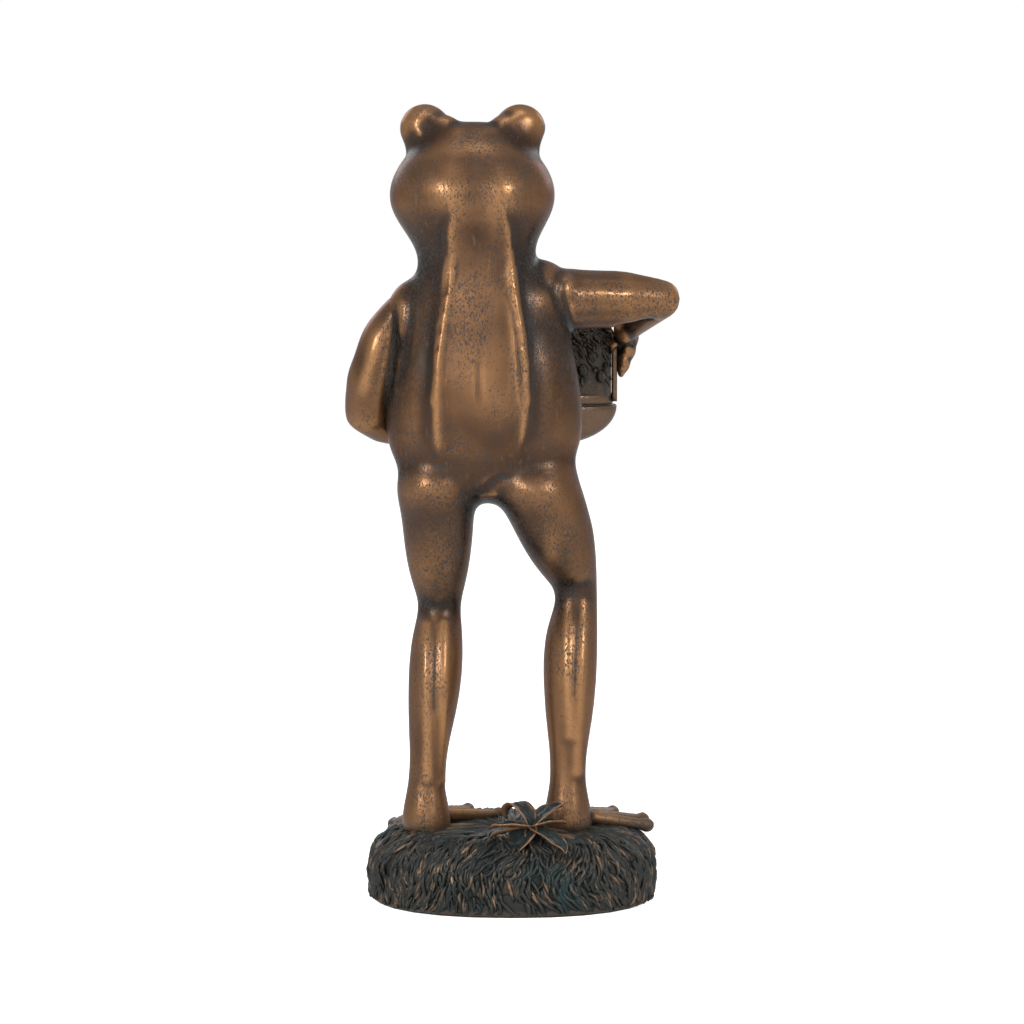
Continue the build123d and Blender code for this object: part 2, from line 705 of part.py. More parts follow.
def right_hand_form():
    """Hand on the outside of the handle, with the thumb behind it."""
    wrist = right_wrist()
    palm = (HANDLE_X + RIGHT_PALM_OUT, BASKET_Y, RIM_Z + RIGHT_PALM_RISE)
    hand = digit(wrist, palm, RIGHT_WRIST_WIDTH, PALM_WIDTH)
    for step in FINGER_STEPS:
        drop = FINGER_LENGTH * (GRIP_SHARE - GRIP_SHORTENING * abs(step))
        root = moved(palm, y=step * FINGER_PITCH * FINGER_ROOT_PITCH)
        tip = moved(palm, x=-RIGHT_PALM_OUT, y=step * FINGER_PITCH, z=-drop)
        hand += digit(root, tip, FINGER_WIDTH * FINGER_TAPER, FINGER_WIDTH)
    hand = hand - beyond((HANDLE_X, 0, 0), (-1, 0, 0))
    thumb_tip = (
        HANDLE_X - HANDLE_THICKNESS - FINGER_WIDTH / 2,
        BASKET_Y - HANDLE_WIDTH / 4,
        palm[2] - FINGER_WIDTH,
    )
    corner = (HANDLE_X - HANDLE_THICKNESS, BASKET_Y - HANDLE_WIDTH / 2 - FINGER_WIDTH / 2, palm[2])
    hand += digit(wrist, corner, FINGER_WIDTH * FINGER_TAPER, FINGER_WIDTH * THUMB_SHARE)
    hand += digit(corner, thumb_tip, FINGER_WIDTH * THUMB_SHARE, FINGER_WIDTH)
    return hand


def left_shoulder():
    """Middle of the lowered arm's shoulder."""
    x = BODY_X - SHOULDER_WIDTH / 2 + LEFT_SHOULDER_INSET
    return (x, SHOULDER_Y, SEAT_Z + LEFT_SHOULDER_RISE)


def right_shoulder_key(grow=0.0):
    """Key across the joint of the raised arm."""
    place, direction = right_seam()
    return key(place, direction, RIGHT_KEY_LENGTH, grow)


def left_shoulder_key(grow=0.0):
    """Key from the torso's side into the lowered arm."""
    side_x = BODY_X - SHOULDER_WIDTH / 2
    place = (side_x, SHOULDER_Y, left_shoulder()[2] - LEFT_KEY_DROP)
    return key(place, (1, 0, 0), LEFT_KEY_LENGTH, grow)


def left_palm():
    """Middle of the palm that carries the bowl."""
    y = BASKET_Y - BASKET_WIDTH * LEFT_PALM_BACK
    return (BASKET_X - LEFT_PALM_OFFSET, y, BOWL_Z - FINGER_WIDTH / 2)


def left_arm_form():
    """Lowered arm: down to the elbow, then forward under the bowl."""
    shoulder = left_shoulder()
    elbow = moved(shoulder, x=-LEFT_ELBOW_OUT, y=LEFT_ELBOW_FORWARD, z=-LEFT_ELBOW_DROP)
    middle = moved(between(shoulder, elbow, LEFT_ARM_SHARE), x=-LEFT_ARM_BOW)
    palm = left_palm()
    wrist = between(elbow, palm, LEFT_WRIST_SHARE)
    forearm = between(elbow, wrist, LEFT_FOREARM_SHARE)
    upper_widths = [LEFT_SHOULDER_ARM_WIDTH, LEFT_ARM_WIDTH, LEFT_ELBOW_WIDTH]
    lower_widths = [LEFT_FOREARM_WIDTH, LEFT_WRIST_WIDTH, PALM_WIDTH * LEFT_PALM_TAPER]
    return limb([shoulder, middle, elbow, forearm, wrist, palm], upper_widths + lower_widths)


def left_hand_form():
    """Fingers spread under the bowl."""
    palm = left_palm()
    hand = None
    for step in FINGER_STEPS:
        heading = radians(LEFT_HAND_TURN + FINGER_SPREAD * step)
        tip = moved(palm, x=FINGER_LENGTH * sin(heading), y=FINGER_LENGTH * cos(heading))
        finger = digit(between(palm, tip, DIGIT_START), tip, FINGER_WIDTH * FINGER_TAPER, FINGER_WIDTH)
        hand = finger if hand is None else hand + finger
    return hand


# Basket


def bowl_level(share, z, inset=0.0):
    """Level oval of the bowl at a share of its outline."""
    half_length = BASKET_LENGTH / 2 * share - inset
    half_width = BASKET_WIDTH / 2 * share - inset
    return facet_ring((BASKET_X, BASKET_Y, z), half_length, half_width, BASKET_POWER)


def bowl_form(wall=0.0):
    """The bowl's outside below its rim, or its inside a wall further in."""
    sections = []
    depth = LIP_Z - BOWL_Z - wall
    for turn in reversed(BOWL_TURNS):
        share = between(BASKET_FLOOR, 1.0, cos(radians(turn)))
        sections.append(bowl_level(share, LIP_Z - depth * sin(radians(turn)), wall))
    return loft(sections, ruled=True)


def rim_form(inset, height):
    """Straight oval wall on the bowl's lip."""
    return extrude(bowl_level(1.0, LIP_Z, inset), height)


def handle_form(grow=0.0):
    """Hoop handle: two straight legs in the rim, and a half-ellipse arch over the flowers."""
    span = BASKET_LENGTH / 2 + grow
    inner = BASKET_LENGTH / 2 - HANDLE_THICKNESS - grow
    foot_z = RIM_Z - HANDLE_SOCKET - grow
    bend_z = RIM_Z + HANDLE_LEG
    outline = []
    for half, arch in ((span, HANDLE_ARCH + grow), (inner, HANDLE_ARCH - HANDLE_THICKNESS - grow)):
        outline.append(EllipticalCenterArc((0, bend_z), half, arch, start_angle=0, arc_size=180))
        outline.append(Line((half, foot_z), (half, bend_z)))
        outline.append(Line((-half, foot_z), (-half, bend_z)))
    outline.append(Line((inner, foot_z), (span, foot_z)))
    outline.append(Line((-inner, foot_z), (-span, foot_z)))
    face = Plane((BASKET_X, BASKET_Y, 0), x_dir=(1, 0, 0), z_dir=(0, -1, 0)) * make_face(outline)
    return extrude(face, HANDLE_WIDTH / 2 + grow, both=True)


def basket_key(grow=0.0):
    """Key from the belly through the bowl's wall."""
    place = (BODY_X, HIP_Y + BELLY_FRONT, (BOWL_Z + LIP_Z) / 2)
    return key(place, (0, 1, 0), BASKET_KEY_LENGTH, grow)


def flower():
    """One open flower: pointed petals that spread upward, round a raised eye."""
    outline = []
    for i in range(2 * FLOWER_PETALS):
        turn = pi * i / FLOWER_PETALS
        reach = FLOWER_WIDTH / 2 * (1.0 if i % 2 == 0 else FLOWER_NOTCH)
        outline.append((reach * cos(turn), reach * sin(turn)))
    petals = make_face(Polyline(*outline, close=True))
    eye_face = Pos(0, 0, FLOWER_HEIGHT / 2) * RegularPolygon(FLOWER_EYE_WIDTH / 2, DIGIT_SIDES)
    cup = loft([petals.scale(FLOWER_NOTCH), Pos(0, 0, FLOWER_HEIGHT) * petals], ruled=True)
    return cup + extrude(eye_face, FLOWER_EYE_RISE + FLOWER_HEIGHT / 2, taper=FLOWER_EYE_TAPER)


def flower_bed():
    """Leafy filling of the bowl, with two rows of flowers that lean outward."""
    sections = []
    inset = BASKET_WALL + BED_GAP
    depth = LIP_Z - BOWL_Z - inset
    for turn in reversed(BOWL_TURNS):
        share = between(BASKET_FLOOR, 1.0, cos(radians(turn)))
        sections.append(bowl_level(share, LIP_Z - depth * sin(radians(turn)), inset))
    for turn in BED_TURNS:
        z = RIM_Z + FLOWER_BED_HEIGHT * sin(radians(turn)) ** (2 / BED_POWER)
        sections.append(bowl_level(cos(radians(turn)) ** (2 / BED_POWER), z, inset))
    bed = loft(sections, ruled=True)
    pitch = (BASKET_LENGTH - 2 * BASKET_WALL - FLOWER_WIDTH) / (FLOWER_COLUMNS - 1)
    for row in (-1, 1):
        for column in range(FLOWER_COLUMNS):
            across = (column - (FLOWER_COLUMNS - 1) / 2) * pitch * FLOWER_SPREAD
            lift = FLOWER_BED_HEIGHT * (1 - abs(2 * across / BASKET_LENGTH) ** BED_POWER) ** (1 / BED_POWER)
            place = Pos(BASKET_X + across, BASKET_Y + row * FLOWER_STAGGER, RIM_Z + lift - FLOWER_SINK)
            bed += place * Rot(-row * FLOWER_LEAN, 0, 0) * flower()
    return bed


# Pieces


def castings():
    """The figure's castings, cut apart along their joints, by name."""
    sides = ("left", "right")
    upper = beyond((0, 0, HIP_Z), (0, 0, 1))
    outer = beyond(*right_seam())
    body = body_form()
    torso = body + fold(body, -1) + fold(body, 1)
    for side in sides:
        torso += eye(side)
        torso += leg_form(side) & upper
    raised = right_arm_form()
    torso += raised - outer
    left_arm = left_arm_form() + left_hand_form() - torso
    right_arm = (raised & outer) + right_hand_form()
    right_arm = right_arm - handle_form(HAND_CLEARANCE) - right_shoulder_key(GLUE_GAP)
    left_arm = left_arm - bowl_form(-HAND_CLEARANCE) - left_shoulder_key(GLUE_GAP)
    torso = torso - right_shoulder_key(GLUE_GAP) - left_shoulder_key(GLUE_GAP) - basket_key(GLUE_GAP)
    ground = mound_form()
    mound = ground - mound_recess()
    pieces = {"left_arm": left_arm, "right_arm": right_arm}
    for side in sides:
        leg = whole_leg(side) - upper
        mound = mound - leg - stud(side, GLUE_GAP)
        torso = torso - hip_key(side, GLUE_GAP)
        pieces[side + "_leg"] = leg - stud(side, GLUE_GAP) - hip_key(side, GLUE_GAP)
    pieces["torso"] = torso
    pieces["base_mound"] = mound
    pieces["leaf_spray"] = leaf_spray(ground)
    return pieces


def basket():
    """The bowl, its handle and its flowers, by name."""
    bowl = bowl_form() + rim_form(RIM_INSET, RIM_HEIGHT) - bowl_form(BASKET_WALL)
    bowl = bowl - rim_form(BASKET_WALL, 2 * RIM_HEIGHT) - handle_form(GLUE_GAP)
    flowers = flower_bed() - handle_form(GLUE_GAP)
    return {
        "basket_bowl": bowl - basket_key(GLUE_GAP),
        "basket_handle": handle_form(),
        "basket_flowers": flowers - basket_key(GLUE_GAP),
    }


def hardware():
    """Felt, studs, washers, nuts and keys, by name."""
    pieces = {
        "felt_base": felt_base(),
        "stud_washers": stud_washers(),
        "stud_nuts": stud_nuts(),
        "right_shoulder_key": right_shoulder_key(),
        "left_shoulder_key": left_shoulder_key(),
        "basket_key": basket_key(),
    }
    for side in ("left", "right"):
        pieces[side + "_leg_stud"] = stud(side)
        pieces[side + "_hip_key"] = hip_key(side)
    return pieces


def main():
    """Builds every piece and writes one file for each."""
    os.makedirs("parts", exist_ok=True)
    for name, piece in {**castings(), **basket(), **hardware()}.items():
        export_step(piece, os.path.join("parts", name + ".step"))
        print(name, len(piece.solids()), "solids", round(piece.volume / 1000, 2), "cc")


if __name__ == "__main__":
    main()
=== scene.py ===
"""Looks of the bronze-finish frog figurine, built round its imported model.

The frog faces +Y, so the camera, behind it, looks along +Y. Sizes in the classes are in
millimetres, and Blender's own are in metres.
"""

import json
import logging
import math
import random
from collections.abc import Callable, Sequence
from dataclasses import dataclass, field
from enum import Enum

import bmesh
import bpy
import numpy as np
from mathutils import Matrix, Vector, noise

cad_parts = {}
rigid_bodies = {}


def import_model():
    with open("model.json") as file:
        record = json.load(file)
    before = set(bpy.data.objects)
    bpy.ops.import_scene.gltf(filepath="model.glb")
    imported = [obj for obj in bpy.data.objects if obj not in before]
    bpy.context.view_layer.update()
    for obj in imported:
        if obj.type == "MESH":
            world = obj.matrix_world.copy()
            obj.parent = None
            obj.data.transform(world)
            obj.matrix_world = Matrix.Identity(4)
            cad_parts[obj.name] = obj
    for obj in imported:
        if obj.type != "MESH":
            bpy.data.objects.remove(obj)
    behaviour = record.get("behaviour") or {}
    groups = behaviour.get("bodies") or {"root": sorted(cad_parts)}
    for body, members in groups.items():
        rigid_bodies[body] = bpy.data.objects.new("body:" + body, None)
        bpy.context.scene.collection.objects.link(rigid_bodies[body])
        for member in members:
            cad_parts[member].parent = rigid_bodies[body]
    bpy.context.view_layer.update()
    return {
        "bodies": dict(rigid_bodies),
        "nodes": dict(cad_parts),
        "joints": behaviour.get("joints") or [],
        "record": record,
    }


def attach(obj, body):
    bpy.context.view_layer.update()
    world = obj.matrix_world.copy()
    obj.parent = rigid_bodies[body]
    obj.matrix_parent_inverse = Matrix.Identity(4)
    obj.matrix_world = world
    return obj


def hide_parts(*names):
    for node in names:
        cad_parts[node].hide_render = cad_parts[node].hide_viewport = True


log = logging.getLogger("frog_figurine")

MM = 0.001
BODY = "root"

Point = tuple[float, float, float]


class Slot(Enum):
    """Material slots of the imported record."""

    BRONZE = "bronze"
    PATINA = "patina"
    FELT = "felt"
    STEEL = "steel"


def ease(share: np.ndarray) -> np.ndarray:
    """Smooth step from 0 to 1."""
    share = np.clip(share, 0.0, 1.0)
    return share * share * (3.0 - 2.0 * share)


def oval(turn: float, half_x: float, half_y: float, power: float) -> tuple[float, float]:
    """A point of a rounded oval.

    Args:
        turn: Angle from its back.
        half_x: Half its size across.
        half_y: Half its size from back to front.
        power: 2 for an ellipse, and more for a squarer form.

    Returns:
        The point.
    """
    across, along = math.sin(turn), -math.cos(turn)
    x = math.copysign(abs(across) ** (2 / power), across) * half_x
    y = math.copysign(abs(along) ** (2 / power), along) * half_y
    return x, y


def mixed(first: float, second: float, share: float) -> float:
    """The number a share of the way from the first to the second."""
    return first + (second - first) * share


class Nodes:
    """Small helper that lays out a material's node tree.

    Args:
        name: The material's name.
    """

    def __init__(self, name: str) -> None:
        self.material = bpy.data.materials.new(name)
        self.material.use_nodes = True
        self.tree = self.material.node_tree
        self.tree.nodes.clear()
        self.shader = self.tree.nodes.new("ShaderNodeBsdfPrincipled")
        output = self.tree.nodes.new("ShaderNodeOutputMaterial")
        self.tree.links.new(self.shader.outputs["BSDF"], output.inputs["Surface"])
        self.coords = self.tree.nodes.new("ShaderNodeTexCoord").outputs["Object"]

    def link(self, source: bpy.types.NodeSocket, target: bpy.types.NodeSocket) -> None:
        """Joins two sockets."""
        self.tree.links.new(source, target)

    def attribute(self, name: str) -> bpy.types.NodeSocket:
        """A vertex attribute's value.

        Args:
            name: The attribute's name.

        Returns:
            The socket that gives it.
        """
        node = self.tree.nodes.new("ShaderNodeAttribute")
        node.attribute_name = name
        return node.outputs["Fac"]

    def height(self) -> bpy.types.NodeSocket:
        """The height above the ground, in metres."""
        node = self.tree.nodes.new("ShaderNodeSeparateXYZ")
        self.link(self.coords, node.inputs["Vector"])
        return node.outputs["Z"]

    def noise(
        self,
        scale: float,
        stretch: Point = (1.0, 1.0, 1.0),
        detail: float = 4.0,
        roughness: float = 0.55,
    ) -> bpy.types.NodeSocket:
        """Noise on object coordinates.

        Args:
            scale: Features per metre.
            stretch: Scale along each axis.
            detail: Octaves.
            roughness: Weight of the finer octaves.

        Returns:
            The noise's value.
        """
        mapping = self.tree.nodes.new("ShaderNodeMapping")
        mapping.inputs["Scale"].default_value = stretch
        self.link(self.coords, mapping.inputs["Vector"])
        node = self.tree.nodes.new("ShaderNodeTexNoise")
        node.inputs["Scale"].default_value = scale
        node.inputs["Detail"].default_value = detail
        node.inputs["Roughness"].default_value = roughness
        self.link(mapping.outputs["Vector"], node.inputs["Vector"])
        return node.outputs["Fac"]

    def ramp(
        self, value: bpy.types.NodeSocket, low: float, high: float, most: float = 1.0
    ) -> bpy.types.NodeSocket:
        """Maps a value to 0 at low and to the most at high, clamped.

        Args:
            value: The value to map.
            low: Where the result is 0.
            high: Where the result is the most.
            most: The largest result.

        Returns:
            The mapped value.
        """
        node = self.tree.nodes.new("ShaderNodeMapRange")
        node.interpolation_type = "SMOOTHSTEP"
        node.inputs["From Min"].default_value = min(low, high)
        node.inputs["From Max"].default_value = max(low, high)
        node.inputs["To Min"].default_value = 0.0 if low < high else most
        node.inputs["To Max"].default_value = most if low < high else 0.0
        self.link(value, node.inputs["Value"])
        return node.outputs["Result"]

    def math(
        self,
        operation: str,
        first: bpy.types.NodeSocket,
        second: bpy.types.NodeSocket | float,
    ) -> bpy.types.NodeSocket:
        """Arithmetic on two values.

        Args:
            operation: Blender's name of the operation.
            first: The first value.
            second: The second value or a number.

        Returns:
            The result, clamped to between 0 and 1.
        """
        node = self.tree.nodes.new("ShaderNodeMath")
        node.operation = operation
        node.use_clamp = True
        self.link(first, node.inputs[0])
        if isinstance(second, float):
            node.inputs[1].default_value = second
        else:
            self.link(second, node.inputs[1])
        return node.outputs["Value"]

    def blend(
        self,
        share: bpy.types.NodeSocket,
        under: bpy.types.NodeSocket | Point,
        over: bpy.types.NodeSocket | Point,
    ) -> bpy.types.NodeSocket:
        """Lays one colour over another.

        Args:
            share: How much of the upper colour shows.
            under: The lower colour.
            over: The upper colour.

        Returns:
            The mixed colour.
        """
        node = self.tree.nodes.new("ShaderNodeMix")
        node.data_type = "RGBA"
        self.link(share, node.inputs["Factor"])
        for colour, name in ((under, "A"), (over, "B")):
            socket = [s for s in node.inputs if s.name == name and s.type == "RGBA"][0]
            if isinstance(colour, tuple):
                socket.default_value = (*colour, 1.0)
            else:
                self.link(colour, socket)
        return [s for s in node.outputs if s.type == "RGBA"][0]

    def bump(self, height: bpy.types.NodeSocket, distance: float, strength: float) -> None:
        """Adds relief to the shader, on top of any that is there.

        Args:
            height: The relief's height from 0 to 1.
            distance: What 1 stands for, in metres.
            strength: How strongly it shows.
        """
        node = self.tree.nodes.new("ShaderNodeBump")
        node.inputs["Distance"].default_value = distance
        node.inputs["Strength"].default_value = strength
        self.link(height, node.inputs["Height"])
        before = self.shader.inputs["Normal"]
        if before.is_linked:
            self.link(before.links[0].from_socket, node.inputs["Normal"])
        self.link(node.outputs["Normal"], before)


@dataclass(frozen=True)
class CastBronze:
    """Bronze-filled resin with a rubbed patina.

    Fields give the metal's colours from worn to deep, and how much of each shows; the worn colour is also the painted
    highlight where the figure's broad tone is raised, and the deep colour the painted shade where it is lowered.
    """

    name: str
    worn_and_highlight: Point = (0.235, 0.118, 0.05)
    metal: Point = (0.06, 0.028, 0.013)
    deep: Point = (0.017, 0.011, 0.008)
    speck: Point = (0.02, 0.024, 0.028)
    verdigris: Point = (0.016, 0.018, 0.016)
    wear_from: float = 0.62
    wear_to: float = 1.1
    speck_amount: float = 0.9
    grime_from: float = 0.34
    grime_to: float = 0.06
    roughness: float = 0.32
    metallic: float = 0.85
    stain_amount: float = 0.35
    swell_wear_and_highlight: float = 0.6
    lacquer: float = 0.13
    patina_top: float = 0.035
    patina_foot: float = 0.024

    def material(self) -> bpy.types.Material:
        """Builds the finish.

        Returns:
            The material.
        """
        n = Nodes(self.name)
        wear = n.attribute("wear")
        broad = n.attribute("broad")
        cloud = n.noise(34.0, detail=3.0)
        rubs_and_painted_light = n.noise(520.0, (1.0, 1.0, 0.22), detail=5.0, roughness=0.65)
        mottle = n.noise(760.0, detail=5.0, roughness=0.7)

        # Tone follows the broad forms, which on the figure also carry painted highlight and painted shade: low tone
        # takes the deep colour, high tone the worn colour.
        tone = n.math("ADD", n.math("MULTIPLY", cloud, 0.5), n.math("MULTIPLY", broad, 0.7))
        colour = n.blend(n.ramp(tone, 0.38, 0.8), self.deep, self.metal)
        colour = n.blend(n.ramp(tone, 0.6, 1.0, self.swell_wear_and_highlight), colour, self.worn_and_highlight)
        wear_and_painted_light = n.math("ADD", n.math("MULTIPLY", wear, 0.85), n.math("MULTIPLY", mottle, 0.4))
        colour = n.blend(n.ramp(wear_and_painted_light, self.wear_from, self.wear_to), colour, self.worn_and_highlight)
        colour = n.blend(n.ramp(mottle, 0.5, 0.72, 0.5), colour, self.deep)
        colour = n.blend(n.ramp(rubs_and_painted_light, 0.56, 0.75, 0.25), colour, self.worn_and_highlight)

        patches = n.ramp(n.noise(48.0, (1.0, 1.0, 0.5), detail=3.0), 0.4, 0.58)
        specks = n.ramp(n.noise(1600.0, (1.0, 1.0, 0.55), detail=4.0, roughness=0.65), 0.52, 0.6)
        few = n.ramp(n.noise(1100.0, (1.0, 1.0, 0.6), detail=2.0), 0.68, 0.72)
        spots = n.math("MAXIMUM", n.math("MULTIPLY", patches, specks), few)
        speckle = n.math("MULTIPLY", spots, self.speck_amount)
        colour = n.blend(speckle, colour, self.speck)
        grime = n.ramp(wear, self.grime_from, self.grime_to, 0.75)
        stain = n.ramp(n.noise(55.0, (1.0, 1.0, 0.5), detail=4.0), 0.6, 0.74, self.stain_amount)
        low = n.ramp(n.height(), self.patina_top, self.patina_foot, 0.94)
        colour = n.blend(n.math("MAXIMUM", n.math("MAXIMUM", grime, stain), low), colour, self.verdigris)
        n.link(colour, n.shader.inputs["Base Color"])

        dirt = n.math("MAXIMUM", n.math("MAXIMUM", speckle, grime), low)
        n.link(n.ramp(dirt, 1.3, -0.3, self.metallic), n.shader.inputs["Metallic"])
        rough = n.math("ADD", n.math("MULTIPLY", mottle, 0.25), self.roughness - 0.12)
        n.link(n.math("ADD", rough, n.math("MULTIPLY", dirt, 0.25)), n.shader.inputs["Roughness"])
        n.shader.inputs["Specular Tint"].default_value = (0.3, 0.28, 0.26, 1.0)
        n.shader.inputs["Coat Weight"].default_value = self.lacquer
        n.shader.inputs["Coat Roughness"].default_value = 0.35
        n.bump(mottle, 0.0001, 0.5)
        n.bump(rubs_and_painted_light, 0.00008, 0.3)
        n.bump(speckle, -0.00012, 0.7)
        return n.material


@dataclass(frozen=True)
class Felt:
    """Dark felt with a short nap."""

    name: str = "base_felt"
    colour: Point = (0.02, 0.03, 0.022)

    def material(self) -> bpy.types.Material:
        """Builds the finish.

        Returns:
            The material.
        """
        n = Nodes(self.name)
        nap = n.noise(1800.0, detail=3.0)
        lighter = tuple(2.2 * c for c in self.colour)
        n.link(n.blend(nap, self.colour, lighter), n.shader.inputs["Base Color"])
        n.shader.inputs["Roughness"].default_value = 0.95
        n.shader.inputs["Sheen Weight"].default_value = 0.4
        n.bump(nap, 0.0003, 0.6)
        return n.material


@dataclass(frozen=True)
class PlainSteel:
    """Drawn and zinc-plated steel of the fixings inside."""

    name: str = "plain_steel"
    colour: Point = (0.52, 0.53, 0.54)

    def material(self) -> bpy.types.Material:
        """Builds the finish.

        Returns:
            The material.
        """
        n = Nodes(self.name)
        drawn = n.noise(900.0, (1.0, 1.0, 0.05), detail=3.0)
        darker = tuple(0.6 * c for c in self.colour)
        n.link(n.blend(drawn, self.colour, darker), n.shader.inputs["Base Color"])
        n.link(n.ramp(drawn, -0.6, 1.6), n.shader.inputs["Roughness"])
        n.shader.inputs["Metallic"].default_value = 1.0
        return n.material


def new_object(name: str, mesh: bpy.types.Mesh) -> bpy.types.Object:
    """Puts a mesh into the scene as an object.

    Args:
        name: The object's name.
        mesh: Its mesh.

    Returns:
        The object.
    """
    piece = bpy.data.objects.new(name, mesh)
    bpy.context.scene.collection.objects.link(piece)
    return piece


def object_from(name: str, bm: bmesh.types.BMesh, smooth: bool = True) -> bpy.types.Object:
    """Writes a bmesh into a new object and frees it.

    Args:
        name: The object's name.
        bm: The shape.
        smooth: Whether its faces are shaded smooth.

    Returns:
        The object.
    """
    mesh = bpy.data.meshes.new(name)
    for face in bm.faces:
        face.smooth = smooth
    bm.to_mesh(mesh)
    bm.free()
    return new_object(name, mesh)


def wrapped(
    columns: int,
    rows: int,
    place: Callable[[float, float], Vector],
    fill: bool = True,
) -> bmesh.types.BMesh:
    """A skin made by laying a grid over a form and joining the grid's edges where they meet.

    Args:
        columns: Faces across the grid.
        rows: Faces up the grid.
        place: Gives the point for each share across and up.
        fill: Whether the open ends are closed.

    Returns:
        The closed skin, with its faces outward.
    """
    bm = bmesh.new()
    bmesh.ops.create_grid(bm, x_segments=columns, y_segments=rows, size=1.0)
    for vert in bm.verts:
        vert.co = place((vert.co.x + 1.0) / 2.0, (vert.co.y + 1.0) / 2.0) * MM
    bmesh.ops.remove_doubles(bm, verts=bm.verts, dist=0.01 * MM)
    if fill:
        bmesh.ops.holes_fill(bm, edges=bm.edges, sides=0)
    bmesh.ops.recalc_face_normals(bm, faces=bm.faces)
    return bm


def on_line(points: Sequence[tuple[float, ...]], share: float) -> tuple[float, ...]:
    """A point on a line of straight runs, by its share of the runs.

    Args:
        points: The line's corners.
        share: From 0 at the first corner to 1 at the last.

    Returns:
        The point.
    """
    spot = min(max(share, 0.0), 1.0) * (len(points) - 1)
    index = min(int(spot), len(points) - 2)
    return tuple(mixed(a, b, spot - index) for a, b in zip(points[index], points[index + 1]))


def joined(name: str, parts: list[bmesh.types.BMesh]) -> bpy.types.Object:
    """One object out of several shapes, which are freed.

    Args:
        name: The object's name.
        parts: The shapes.

    Returns:
        The object.
    """
    whole = bmesh.new()
    for part in parts:
        mesh = bpy.data.meshes.new("part")
        part.to_mesh(mesh)
        part.free()
        whole.from_mesh(mesh)
        bpy.data.meshes.remove(mesh)
    return object_from(name, whole)


def evaluated(piece: bpy.types.Object) -> bpy.types.Object:
    """Applies an object's modifiers to its mesh.

    Args:
        piece: The object.

    Returns:
        The same object, with no modifier left.
    """
    bpy.context.view_layer.update()
    graph = bpy.context.evaluated_depsgraph_get()
    mesh = bpy.data.meshes.new_from_object(piece.evaluated_get(graph), depsgraph=graph)
    piece.modifiers.clear()
    old = piece.data
    piece.data = mesh
    bpy.data.meshes.remove(old)
    return piece


def coordinates(mesh: bpy.types.Mesh) -> np.ndarray:
    """A mesh's vertices, in millimetres."""
    flat = np.empty(len(mesh.vertices) * 3)
    mesh.vertices.foreach_get("co", flat)
    return flat.reshape(-1, 3) / MM


def move_to(mesh: bpy.types.Mesh, places: np.ndarray) -> None:
    """Moves a mesh's vertices to places in millimetres."""
    mesh.vertices.foreach_set("co", (places * MM).ravel())
    mesh.update()


def vertex_normals(mesh: bpy.types.Mesh) -> np.ndarray:
    """A mesh's vertex normals."""
    flat = np.empty(len(mesh.vertices) * 3, np.float32)
    mesh.vertex_normals.foreach_get("vector", flat)
    return flat.reshape(-1, 3).astype(float)


class Relaxer:
    """Averages a mesh's vertices with their neighbours.

    Args:
        mesh: The mesh whose edges say which vertices are neighbours.
    """

    def __init__(self, mesh: bpy.types.Mesh) -> None:
        ends = np.empty(len(mesh.edges) * 2, np.int64)
        mesh.edges.foreach_get("vertices", ends)
        ends = ends.reshape(-1, 2)
        self.source = np.concatenate([ends[:, 0], ends[:, 1]])
        self.target = np.concatenate([ends[:, 1], ends[:, 0]])
        self.count = len(mesh.vertices)
        self.degree = np.maximum(np.bincount(self.target, minlength=self.count), 1)

    def average(self, values: np.ndarray) -> np.ndarray:
        """The mean of each vertex's neighbours.

        Args:
            values: One row or number for each vertex.

        Returns:
            The means, in the same shape.
        """
        if values.ndim == 1:
            return np.bincount(self.target, values[self.source], self.count) / self.degree
        return np.stack([self.average(values[:, i]) for i in range(values.shape[1])], axis=1)

    def relaxed(self, values: np.ndarray, rounds: int, share: np.ndarray | float) -> np.ndarray:
        """Values drawn towards their neighbours' mean.

        Args:
            values: One row or number for each vertex.
            rounds: How many times.
            share: How far each time, for all vertices or for each.

        Returns:
            The relaxed values.
        """
        if isinstance(share, np.ndarray) and values.ndim == 2:
            share = share[:, None]
        for _ in range(rounds):
            values = values + (self.average(values) - values) * share
        return values


def wear_attributes(
    mesh: bpy.types.Mesh, fine: float = 0.1, coarse: float = 0.9, wear_and_painted_light: np.ndarray | float = 0.0
) -> None:
    """Stores how far each vertex stands out from its surroundings, for the patina, and adds painted highlight and
    painted shade to the broad value.

    Args:
        mesh: The mesh.
        fine: Height in millimetres that counts as a fully worn small edge.
        coarse: Height in millimetres that counts as a fully worn broad form.
        wear_and_painted_light: Painted highlight, or painted shade where below 0, added to the broad value at each
            vertex.
    """
    places = coordinates(mesh)
    normals = vertex_normals(mesh)
    relaxer = Relaxer(mesh)
    near = relaxer.relaxed(places, 6, 0.5)
    far = relaxer.relaxed(near, 60, 0.5)
    height = np.einsum("ij,ij->i", places - near, normals)
    swell = np.einsum("ij,ij->i", near - far, normals)
    wear = relaxer.relaxed(0.5 + 0.5 * np.clip(height / fine, -1, 1), 2, 0.5)
    # Painted highlight and painted shade are added to the broad value here.
    broad = relaxer.relaxed(0.5 + 0.5 * np.clip(swell / coarse, -1, 1), 4, 0.5) + wear_and_painted_light
    for name, values in (("wear", wear), ("broad", broad)):
        layer = mesh.attributes.new(name, "FLOAT", "POINT")
        layer.data.foreach_set("value", values.astype(np.float32))


